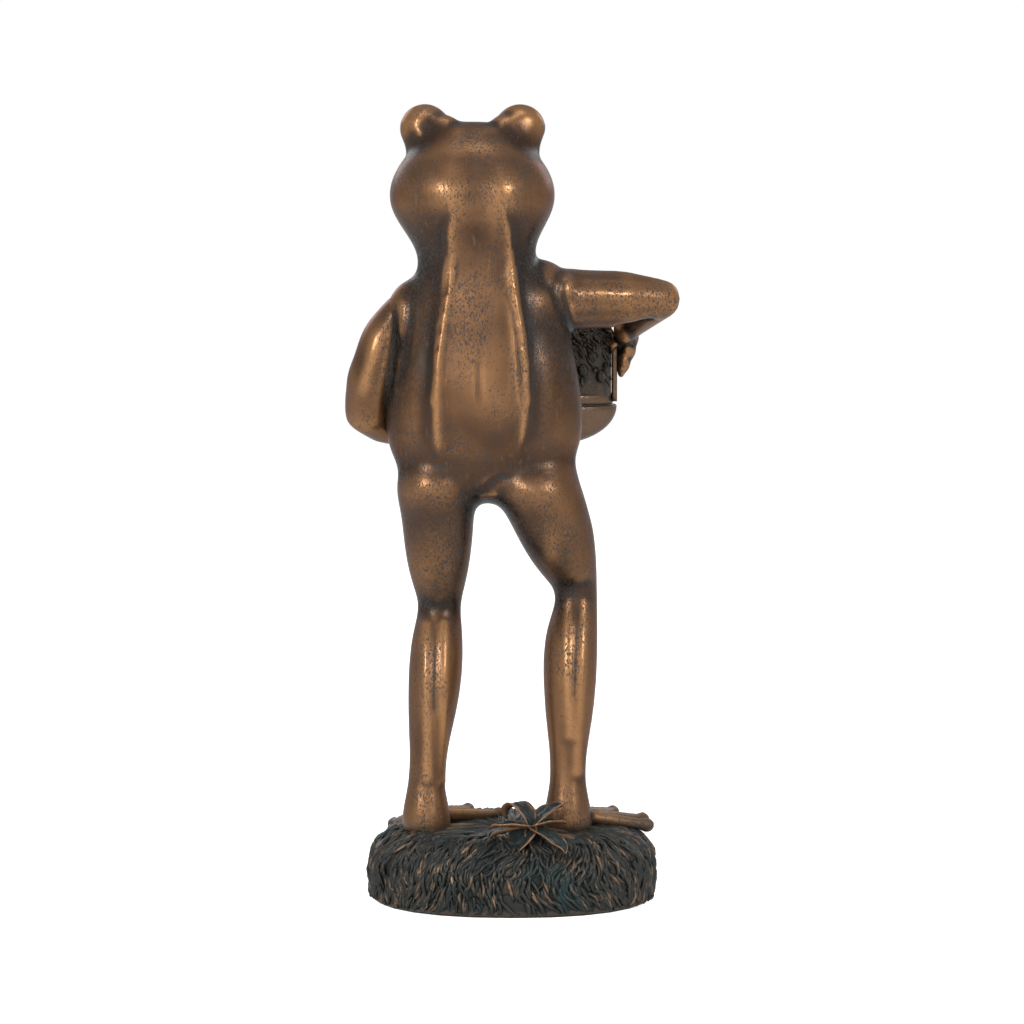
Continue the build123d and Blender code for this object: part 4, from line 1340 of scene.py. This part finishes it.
@dataclass
class Basket:
    """The bowl with its rim band, and the strap handle.

    Fields give the bowl's middle, its sizes, and the handle's.
    """

    x: float = -3.5
    y: float = 49.3
    length: float = 89.0
    width: float = 40.0
    floor_z: float = 169.5
    lip_z: float = 185.1
    rim_z: float = 189.5
    floor_share: float = 0.45
    wall: float = 3.0
    rim_inset: float = 1.4
    power: float = 2.4
    handle_width: float = 12.0
    handle_thickness: float = 2.0
    handle_leg: float = 19.0
    handle_arch: float = 21.0
    handle_foot_z: float = 186.5

    def profile(self) -> list[tuple[float, float, float]]:
        """Outline share, inset and height of the bowl's section, from under the floor to inside."""
        steps = [(0.0, 0.0, self.floor_z), (0.25, 0.0, self.floor_z)]
        for i in range(15):
            turn = math.pi / 2 * (1 - i / 14)
            share = mixed(self.floor_share, 1.0, math.cos(turn))
            steps.append((share, 0.0, self.lip_z - 0.5 - (self.lip_z - 0.5 - self.floor_z) * math.sin(turn)))
        steps += [(1.0, 0.2, self.lip_z - 0.15), (1.0, 0.6, self.lip_z), (1.0, 1.2, self.lip_z - 0.25),
                  (1.0, 1.7, self.lip_z - 0.2), (1.0, 1.75, self.lip_z + 0.5), (1.0, 1.45, self.lip_z + 0.9),
                  (1.0, self.rim_inset, self.rim_z - 0.6), (1.0, 1.6, self.rim_z - 0.15), (1.0, 2.0, self.rim_z),
                  (1.0, 2.6, self.rim_z - 0.1), (1.0, self.wall, self.rim_z - 0.6)]
        for i in range(9):
            turn = math.pi / 2 * i / 8
            share = mixed(self.floor_share, 1.0, math.cos(turn))
            steps.append((share, self.wall, self.lip_z - (self.lip_z - self.floor_z - self.wall) * math.sin(turn)))
        return [*steps, (0.0, 0.0, self.floor_z + self.wall)]

    def bowl(self) -> bpy.types.Object:
        """The bowl and its rim as one closed skin.

        Returns:
            The piece.
        """
        profile = self.profile()

        def place(u: float, v: float) -> Vector:
            share, inset, z = profile[round(v * (len(profile) - 1))]
            half_x = max(self.length / 2 * share - inset, 0.0)
            half_y = max(self.width / 2 * share - inset, 0.0)
            x, y = oval(u * 2 * math.pi, half_x, half_y, self.power)
            return Vector((self.x + x, self.y + y, z))

        return object_from("bowl_shell", wrapped(120, len(profile) - 1, place, fill=False))

    def handle(self) -> bpy.types.Object:
        """The strap handle, with rounded edges.

        Returns:
            The piece.
        """
        a, b, r = self.handle_width / 2, self.handle_thickness / 2, 0.45
        corners = [(a - r, b), (a - 0.13, b - 0.13), (a, b - r), (a, r - b), (a - 0.13, 0.13 - b), (a - r, -b)]
        section = corners + [(0.0, -b + 0.12)] + [(-p, -q) for p, q in corners] + [(0.0, b - 0.12), corners[0]]
        bend_z = self.rim_z + self.handle_leg
        half = self.length / 2 - b
        arch = self.handle_arch - b
        route = [(-half, mixed(self.handle_foot_z, bend_z, i / 8)) for i in range(8)]
        route += [(-half * math.cos(math.pi * i / 48), bend_z + arch * math.sin(math.pi * i / 48)) for i in range(49)]
        route += [(half, mixed(bend_z, self.handle_foot_z, i / 8)) for i in range(1, 9)]

        def place(u: float, v: float) -> Vector:
            i = round(v * (len(route) - 1))
            before, after = route[max(i - 1, 0)], route[min(i + 1, len(route) - 1)]
            run = Vector((after[0] - before[0], after[1] - before[1])).normalized()
            along_y, out = section[round(u * (len(section) - 1))]
            x = route[i][0] - run.y * out
            z = route[i][1] + run.x * out
            return Vector((self.x + x, self.y + along_y, z))

        return object_from("strap_handle", wrapped(len(section) - 1, len(route) - 1, place))

    def build(self, dresser: Dresser, finish: bpy.types.Material) -> list[bpy.types.Object]:
        """Makes the bowl and the handle.

        Args:
            dresser: Gives them their slot.
            finish: A darker copy of the bronze.

        Returns:
            The pieces.
        """
        made = []
        for piece, node in ((self.bowl(), "basket_bowl"), (self.handle(), "basket_handle")):
            wear_attributes(piece.data, 0.05)
            made.append(dresser.dress(piece, Slot.BRONZE, node, material=finish))
        return made


@dataclass
class Posy:
    """The flowers: a leafy dome in the bowl, with open flowers, buds and leaves on it.

    Fields give the dome's place and size, and how many of each there are.
    """

    x: float = -3.5
    y: float = 49.3
    half_x: float = 45.5
    half_y: float = 16.8
    rim_z: float = 189.5
    bed_z: float = 173.2
    height: float = 26.0
    power: float = 9.0
    outline_power: float = 2.7
    flower_radius: float = 8.2
    flower_xs: tuple[float, ...] = (-26.4, -8.8, 8.8, 26.4)
    stagger: float = 7.5
    lean: float = 24.0
    leaves: int = 460
    buds: tuple[Point, ...] = ((31.0, 36.5, 204.5), (34.6, 38.0, 196.5), (27.5, 35.0, 199.0),
                               (33.5, 43.0, 205.0), (-37.0, 38.5, 200.0), (-41.0, 46.0, 197.0),
                               (37.5, 52.0, 198.5), (-8.0, 33.5, 202.0), (10.0, 34.0, 204.0))
    limits: tuple[Point, Point] = ((-45.0, 30.5, 170.0), (38.6, 68.2, 217.0))
    seed: int = 5

    def dome_point(self, turn: float, climb: float) -> Vector:
        """A point of the dome, from its foot at 0 to its top at 1."""
        angle = climb * math.pi / 2
        share = math.cos(angle) ** (2 / self.power)
        x, y = oval(turn, self.half_x * share, self.half_y * share, self.outline_power)
        z = self.rim_z + self.height * math.sin(angle) ** (2 / self.power)
        return Vector((self.x + x, self.y + y, z))

    def dome(self) -> bmesh.types.BMesh:
        """The crumpled dome under the flowers, down into the bowl.

        Returns:
            The shape.
        """

        def place(u: float, v: float) -> Vector:
            turn = u * 2 * math.pi
            if v < 0.3:
                rise = v / 0.3
                share = mixed(0.5, 0.97, math.sqrt(rise))
                x, y = oval(turn, self.half_x * share, self.half_y * share, self.outline_power)
                return Vector((self.x + x, self.y + y, mixed(self.bed_z, self.rim_z, rise)))
            point = self.dome_point(turn, min((v - 0.3) / 0.7, 1.0))
            middle = Vector((self.x, self.y, self.rim_z))
            crumple = 0.4 + 1.7 * abs(noise.noise(point * 0.28)) + 1.0 * abs(noise.noise(point * 0.7))
            return point - (point - middle).normalized() * crumple

        return wrapped(140, 44, place)

    def petal(self, length: float, width: float, cup: float, point: float) -> bmesh.types.BMesh:
        """One petal or leaf along +X: a thin closed spoon.

        Args:
            length: Its length.
            width: Its width.
            cup: How much its end and sides rise.
            point: How pointed it is, from 0 to 1.

        Returns:
            The shape.
        """
        bm = bmesh.new()
        bmesh.ops.create_uvsphere(bm, u_segments=12, v_segments=8, radius=1.0)
        for vert in bm.verts:
            along = (vert.co.x + 1.0) / 2.0
            narrow = mixed(1.0, 1.0 - along ** 2, point)
            across = vert.co.y * width / 2 * narrow * (0.75 + 0.25 * along)
            rise = cup * along ** 2 * length * 0.5 + 0.07 * across * across * cup * 2
            ridge = 0.25 if abs(vert.co.y) < 0.1 and vert.co.z > 0 else 0.0
            thick = vert.co.z * 0.65 + ridge
            vert.co = Vector((along * length, across, rise + thick)) * MM
        return bm

    def flower(self, rng: random.Random) -> list[bmesh.types.BMesh]:
        """One open flower round its eye, facing +Z.

        Args:
            rng: Varies the petals.

        Returns:
            Its shapes.
        """
        parts = []
        for layer, (count, share, cup) in enumerate(((6, 1.0, 0.45), (5, 0.7, 0.8))):
            for i in range(count):
                petal = self.petal(self.flower_radius * share * rng.uniform(0.92, 1.0), 6.4 * share, cup, 0.25)
                turn = 2 * math.pi * (i + 0.5 * layer + rng.uniform(-0.08, 0.08)) / count
                tip = Matrix.Rotation(-rng.uniform(0.0, 0.15), 4, "Y")
                bmesh.ops.transform(petal, matrix=Matrix.Rotation(turn, 4, "Z") @ tip, verts=petal.verts)
                bmesh.ops.translate(petal, vec=(0, 0, (1.0 + 0.5 * layer) * MM), verts=petal.verts)
                parts.append(petal)
        eye = bmesh.new()
        bmesh.ops.create_icosphere(eye, subdivisions=2, radius=2.3 * MM)
        for vert in eye.verts:
            vert.co *= 1.0 + 0.12 * math.sin(vert.co.x / MM * 5) * math.sin(vert.co.y / MM * 5)
        bmesh.ops.translate(eye, vec=(0, 0, 2.4 * MM), verts=eye.verts)
        return [*parts, eye]

    def shapes(self) -> list[bmesh.types.BMesh]:
        """All the shapes of the posy in their places."""
        rng = random.Random(self.seed)
        parts = [self.dome()]
        for row in (-1, 1):
            for across in self.flower_xs:
                lift = self.height * (1 - abs(across / 44.5) ** self.power) ** (1 / self.power)
                spot = Vector((self.x + across, self.y + row * self.stagger, self.rim_z + lift - 3.4))
                tilt = Matrix.Rotation(math.radians(-row * self.lean), 4, "X")
                sideways = Matrix.Rotation(math.radians(across * 0.5), 4, "Y")
                spin = Matrix.Rotation(rng.uniform(0, 2 * math.pi), 4, "Z")
                for part in self.flower(rng):
                    place = Matrix.Translation(spot * MM) @ sideways @ tilt @ spin
                    bmesh.ops.transform(part, matrix=place, verts=part.verts)
                    parts.append(part)
        for _ in range(self.leaves):
            turn, climb = rng.uniform(0, 2 * math.pi), 0.8 * rng.random() ** 1.5
            root = self.dome_point(turn, climb)
            out = (root - Vector((self.x, self.y, self.rim_z - 8))).normalized()
            leaf = self.petal(rng.uniform(6.0, 9.5), rng.uniform(3.2, 4.6), -0.25, 0.9)
            side = Vector((rng.uniform(-1, 1), rng.uniform(-1, 1), rng.uniform(-1, 0.6)))
            ahead = (side - out * side.dot(out)).normalized()
            ahead = (ahead + out * 0.18).normalized()
            across_leaf = out.cross(ahead).normalized()
            up = ahead.cross(across_leaf)
            basis = Matrix((ahead, across_leaf, up)).transposed().to_4x4()
            place = Matrix.Translation((root - out * 1.0 - ahead * 3.0) * MM) @ basis
            bmesh.ops.transform(leaf, matrix=place, verts=leaf.verts)
            parts.append(leaf)
        for spot in self.buds:
            bud = bmesh.new()
            bmesh.ops.create_icosphere(bud, subdivisions=3, radius=2.1 * MM)
            for vert in bud.verts:
                fold = 1.0 + 0.1 * math.sin(5 * math.atan2(vert.co.y, vert.co.x))
                vert.co = Vector((vert.co.x * fold, vert.co.y * fold, vert.co.z * 1.2))
            bmesh.ops.translate(bud, vec=Vector(spot) * MM, verts=bud.verts)
            parts.append(bud)
        return parts

    def build(self, dresser: Dresser, finish: bpy.types.Material) -> list[bpy.types.Object]:
        """Makes the posy.

        Args:
            dresser: Gives it its finish.
            finish: The dark patina with rubbed tips.

        Returns:
            The pieces.
        """
        posy = joined("flower_posy", self.shapes())
        for vert in posy.data.vertices:
            vert.co = [min(max(c, low * MM), high * MM) for c, low, high in zip(vert.co, *self.limits)]
        wear_attributes(posy.data, 0.4)
        return [dresser.dress(posy, Slot.PATINA, "basket_flowers", material=finish)]


@dataclass(frozen=True)
class SprayLeaf:
    """One leaf of the spray on the mound.

    Fields:
        turn: Heading in degrees from +X.
        pitch: Rise at its root in degrees.
        curl: How much it bends down by its tip, in degrees.
        length: Its length.
        width: Its width.
        sway: Sideways bend in degrees.
    """

    turn: float
    pitch: float
    curl: float
    length: float
    width: float
    sway: float = 0.0


@dataclass
class LeafSpray:
    """The spray of leaves on the back of the mound."""

    heart: Point = (7.2, -33.5, 31.6)
    leaves: tuple[SprayLeaf, ...] = (
        SprayLeaf(146, 80, 185, 21.5, 9.5, -14),
        SprayLeaf(36, 46, 62, 19.0, 8.0, 12),
        SprayLeaf(14, 20, 40, 15.0, 6.5, 10),
        SprayLeaf(186, 14, 40, 16.0, 8.5, -14),
        SprayLeaf(226, -28, 34, 16.0, 12.5, 0),
        SprayLeaf(318, -10, 32, 21.0, 9.0, -10),
        SprayLeaf(278, -38, 20, 12.0, 6.5, 8),
        SprayLeaf(160, -2, 40, 17.0, 6.0, 16),
    )

    def leaf(self, form: SprayLeaf) -> bmesh.types.BMesh:
        """One leaf: a bent trough with raised edges and a midrib.

        Args:
            form: Its shape.

        Returns:
            The shape in its place.
        """
        section = [(-1, 0.75), (-0.8, 0.6), (-0.4, 0.2), (-0.1, 0.1), (0, 0.42), (0.1, 0.1), (0.4, 0.2),
                   (0.8, 0.6), (1, 0.75), (0.97, 0.3), (0.55, -0.35), (0, -0.6), (-0.55, -0.35),
                   (-0.97, 0.3), (-1, 0.75)]
        steps = 18
        spot = Vector(self.heart)
        route = []
        for i in range(steps + 1):
            share = i / steps
            rise = math.radians(form.pitch - form.curl * share ** 1.3)
            heading = math.radians(form.turn + form.sway * share)
            ahead = Vector((math.cos(rise) * math.cos(heading), math.cos(rise) * math.sin(heading), math.sin(rise)))
            aside = Vector((-math.sin(heading), math.cos(heading), 0))
            route.append((spot.copy(), aside, ahead.cross(aside)))
            spot += ahead * form.length / steps

        def place(u: float, v: float) -> Vector:
            point, aside, up = route[round(v * steps)]
            across, rise = section[round(u * (len(section) - 1))]
            half = form.width / 2 * max(math.sin(math.pi * min(v * 0.93 + 0.07, 1.0) ** 0.8), 0.03) ** 0.75
            vein = 0.2 * math.sin(v * 26 - abs(across) * 5) * (1 - abs(across))
            thick = min(half / 1.5, 1.0)
            spot = point + aside * across * half + up * (rise + vein) * thick * 1.25
            return spot + 1.1 * noise.noise_vector(spot * 0.16) * v

        return wrapped(len(section) - 1, steps, place)

    def build(self, dresser: Dresser, finish: bpy.types.Material) -> list[bpy.types.Object]:
        """Makes the spray.

        Args:
            dresser: Gives it its finish.
            finish: The blue-green patina with rubbed edges.

        Returns:
            The pieces.
        """
        stem = bmesh.new()
        bmesh.ops.create_uvsphere(stem, u_segments=20, v_segments=12, radius=1.0)
        shape = Matrix.Diagonal((3.2 * MM, 3.0 * MM, 3.4 * MM, 1.0))
        place = Matrix.Translation(Vector((7.2, -32.6, 29.0)) * MM)
        bmesh.ops.transform(stem, matrix=place @ shape, verts=stem.verts)
        spray = joined("spray_leaves", [stem, *(self.leaf(form) for form in self.leaves)])
        wear_attributes(spray.data, 0.12)
        return [dresser.dress(spray, Slot.PATINA, "leaf_spray", material=finish)]


@dataclass
class Studio:
    """Floor, light and camera.

    Fields place the camera and set the level of the light.
    """

    target_z: float = 147.0
    distance: float = 1500.0
    elevation: float = 5.0
    lens: float = 138.8
    sensor: float = 36.0
    room_light: float = 0.3
    floor_lift: float = 0.78
    lamps: tuple[tuple[str, Point, float, float], ...] = (
        ("left_soft_box", (-0.95, -1.35, 0.8), 0.42, 20.0),
        ("right_soft_box", (1.05, -1.3, 0.9), 0.42, 18.0),
        ("camera_side_box", (-0.2, -1.9, 0.6), 0.9, 5.0),
        ("top_soft_box", (0.0, -0.3, 1.75), 0.8, 6.0),
        ("front_left_soft_box", (-0.9, 1.45, 0.9), 0.7, 7.0),
        ("front_right_soft_box", (1.0, 1.3, 0.8), 0.7, 6.0),
    )

    def build(self) -> None:
        """Makes the floor, the lamps, the world and the camera."""
        bpy.context.scene.view_settings.view_transform = "Standard"
        self.floor()
        self.world()
        for name, place, size, watts in self.lamps:
            self.lamp(name, place, size, watts)
        self.camera()

    @staticmethod
    def seen(tree: bpy.types.NodeTree) -> bpy.types.NodeSocket:
        """Is 1 for what the camera sees, straight or in a gloss or a glass."""
        path = tree.nodes.new("ShaderNodeLightPath")
        value = path.outputs["Is Camera Ray"]
        for name in ("Is Glossy Ray", "Is Transmission Ray"):
            most = tree.nodes.new("ShaderNodeMath")
            most.operation = "MAXIMUM"
            tree.links.new(value, most.inputs[0])
            tree.links.new(path.outputs[name], most.inputs[1])
            value = most.outputs["Value"]
        return value

    def floor(self) -> None:
        """A large pale floor that keeps the figure's shadow."""
        bm = bmesh.new()
        bmesh.ops.create_circle(bm, cap_ends=True, segments=96, radius=40.0)
        floor = object_from("studio_floor", bm, smooth=False)
        n = Nodes("studio_floor")
        n.shader.inputs["Base Color"].default_value = (0.8, 0.8, 0.8, 1.0)
        n.shader.inputs["Roughness"].default_value = 1.0
        n.shader.inputs["Specular IOR Level"].default_value = 0.0
        n.shader.inputs["Emission Color"].default_value = (1.0, 1.0, 1.0, 1.0)
        lift = n.math("MULTIPLY", self.seen(n.tree), self.floor_lift)
        n.link(lift, n.shader.inputs["Emission Strength"])
        floor.data.materials.append(n.material)

    def world(self) -> None:
        """A white background that lights the figure at a plain level."""
        world = bpy.data.worlds.new("studio_world")
        bpy.context.scene.world = world
        world.use_nodes = True
        tree = world.node_tree
        back = tree.nodes["Background"]
        back.inputs["Color"].default_value = (1.0, 1.0, 1.0, 1.0)
        level = tree.nodes.new("ShaderNodeMapRange")
        level.inputs["To Min"].default_value = self.room_light
        level.inputs["To Max"].default_value = 1.0
        tree.links.new(self.seen(tree), level.inputs["Value"])
        tree.links.new(level.outputs["Result"], back.inputs["Strength"])

    def lamp(self, name: str, place: Point, size: float, watts: float) -> None:
        """A soft square lamp that faces the figure.

        Args:
            name: Its name.
            place: Where it stands, in metres.
            size: Its side, in metres.
            watts: Its power.
        """
        light = bpy.data.lights.new(name, "AREA")
        light.shape = "SQUARE"
        light.size = size
        light.energy = watts
        lamp = bpy.data.objects.new(name, light)
        bpy.context.scene.collection.objects.link(lamp)
        lamp.location = place
        towards = Vector((0, 0, self.target_z * MM)) - Vector(place)
        lamp.rotation_euler = towards.to_track_quat("-Z", "Y").to_euler()

    def camera(self) -> None:
        """The camera behind the frog, a little above it."""
        data = bpy.data.cameras.new("camera")
        data.lens = self.lens
        data.sensor_width = self.sensor
        camera = bpy.data.objects.new("camera", data)
        bpy.context.scene.collection.objects.link(camera)
        rise = math.radians(self.elevation)
        target = Vector((0, 0, self.target_z))
        place = target + self.distance * Vector((0, -math.cos(rise), math.sin(rise)))
        camera.location = place * MM
        camera.rotation_euler = (target - place).to_track_quat("-Z", "Y").to_euler()
        bpy.context.scene.camera = camera


def main() -> None:
    """Builds the figure round the frame."""
    logging.basicConfig(level=logging.INFO, format="%(message)s")
    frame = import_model()
    bronze = CastBronze("cast_bronze")
    basket = CastBronze(
        "basket_bronze", worn_and_highlight=(0.1, 0.06, 0.036), metal=(0.033, 0.025, 0.02), deep=(0.018, 0.015, 0.013),
        speck_amount=0.4,
    )
    under_all = {"patina_top": -0.02, "patina_foot": -0.03, "swell_wear_and_highlight": 0.0, "lacquer": 0.1}
    grass = CastBronze(
        "grass_patina", worn_and_highlight=(0.21, 0.122, 0.066), metal=(0.022, 0.023, 0.021), deep=(0.01, 0.014, 0.014),
        speck=(0.008, 0.011, 0.012), verdigris=(0.01, 0.026, 0.028), wear_from=0.62, wear_to=0.98,
        speck_amount=0.5, roughness=0.42, metallic=0.5, stain_amount=0.85, grime_from=0.2, **under_all,
    )
    ground = CastBronze(
        "ground_patina", worn_and_highlight=(0.07, 0.045, 0.03), metal=(0.014, 0.016, 0.015), deep=(0.005, 0.007, 0.007),
        speck=(0.004, 0.006, 0.006), verdigris=(0.007, 0.015, 0.015), wear_from=0.8, wear_to=1.2,
        speck_amount=0.4, roughness=0.5, metallic=0.3, **under_all,
    )
    petals = CastBronze(
        "petal_patina", worn_and_highlight=(0.24, 0.12, 0.055), metal=(0.026, 0.022, 0.017), deep=(0.008, 0.009, 0.009),
        speck=(0.006, 0.008, 0.009), verdigris=(0.008, 0.02, 0.02), wear_from=0.93, wear_to=1.25,
        speck_amount=0.6, roughness=0.42, metallic=0.5, **under_all,
    )
    spray = CastBronze(
        "leaf_patina", worn_and_highlight=(0.26, 0.135, 0.065), metal=(0.02, 0.027, 0.027), deep=(0.011, 0.018, 0.02),
        speck=(0.009, 0.013, 0.015), verdigris=(0.012, 0.032, 0.037), wear_from=0.8, wear_to=1.08,
        speck_amount=0.5, roughness=0.4, metallic=0.45, stain_amount=0.7, **under_all,
    )
    dresser = Dresser({
        Slot.BRONZE: bronze.material(),
        Slot.PATINA: grass.material(),
        Slot.FELT: Felt().material(),
        Slot.STEEL: PlainSteel().material(),
    })
    slots = {part["node"]: part["material_slot"] for part in frame["record"]["subparts"]}
    for name, solid in frame["nodes"].items():
        solid.data.materials.clear()
        solid.data.materials.append(dresser.finishes[Slot(slots[name])])
    Figure().build(frame, dresser)
    Basket().build(dresser, basket.material())
    Posy().build(dresser, petals.material())
    Mound().build(dresser, ground.material())
    LeafSpray().build(dresser, spray.material())
    Studio().build()


if __name__ == "__main__":
    main()
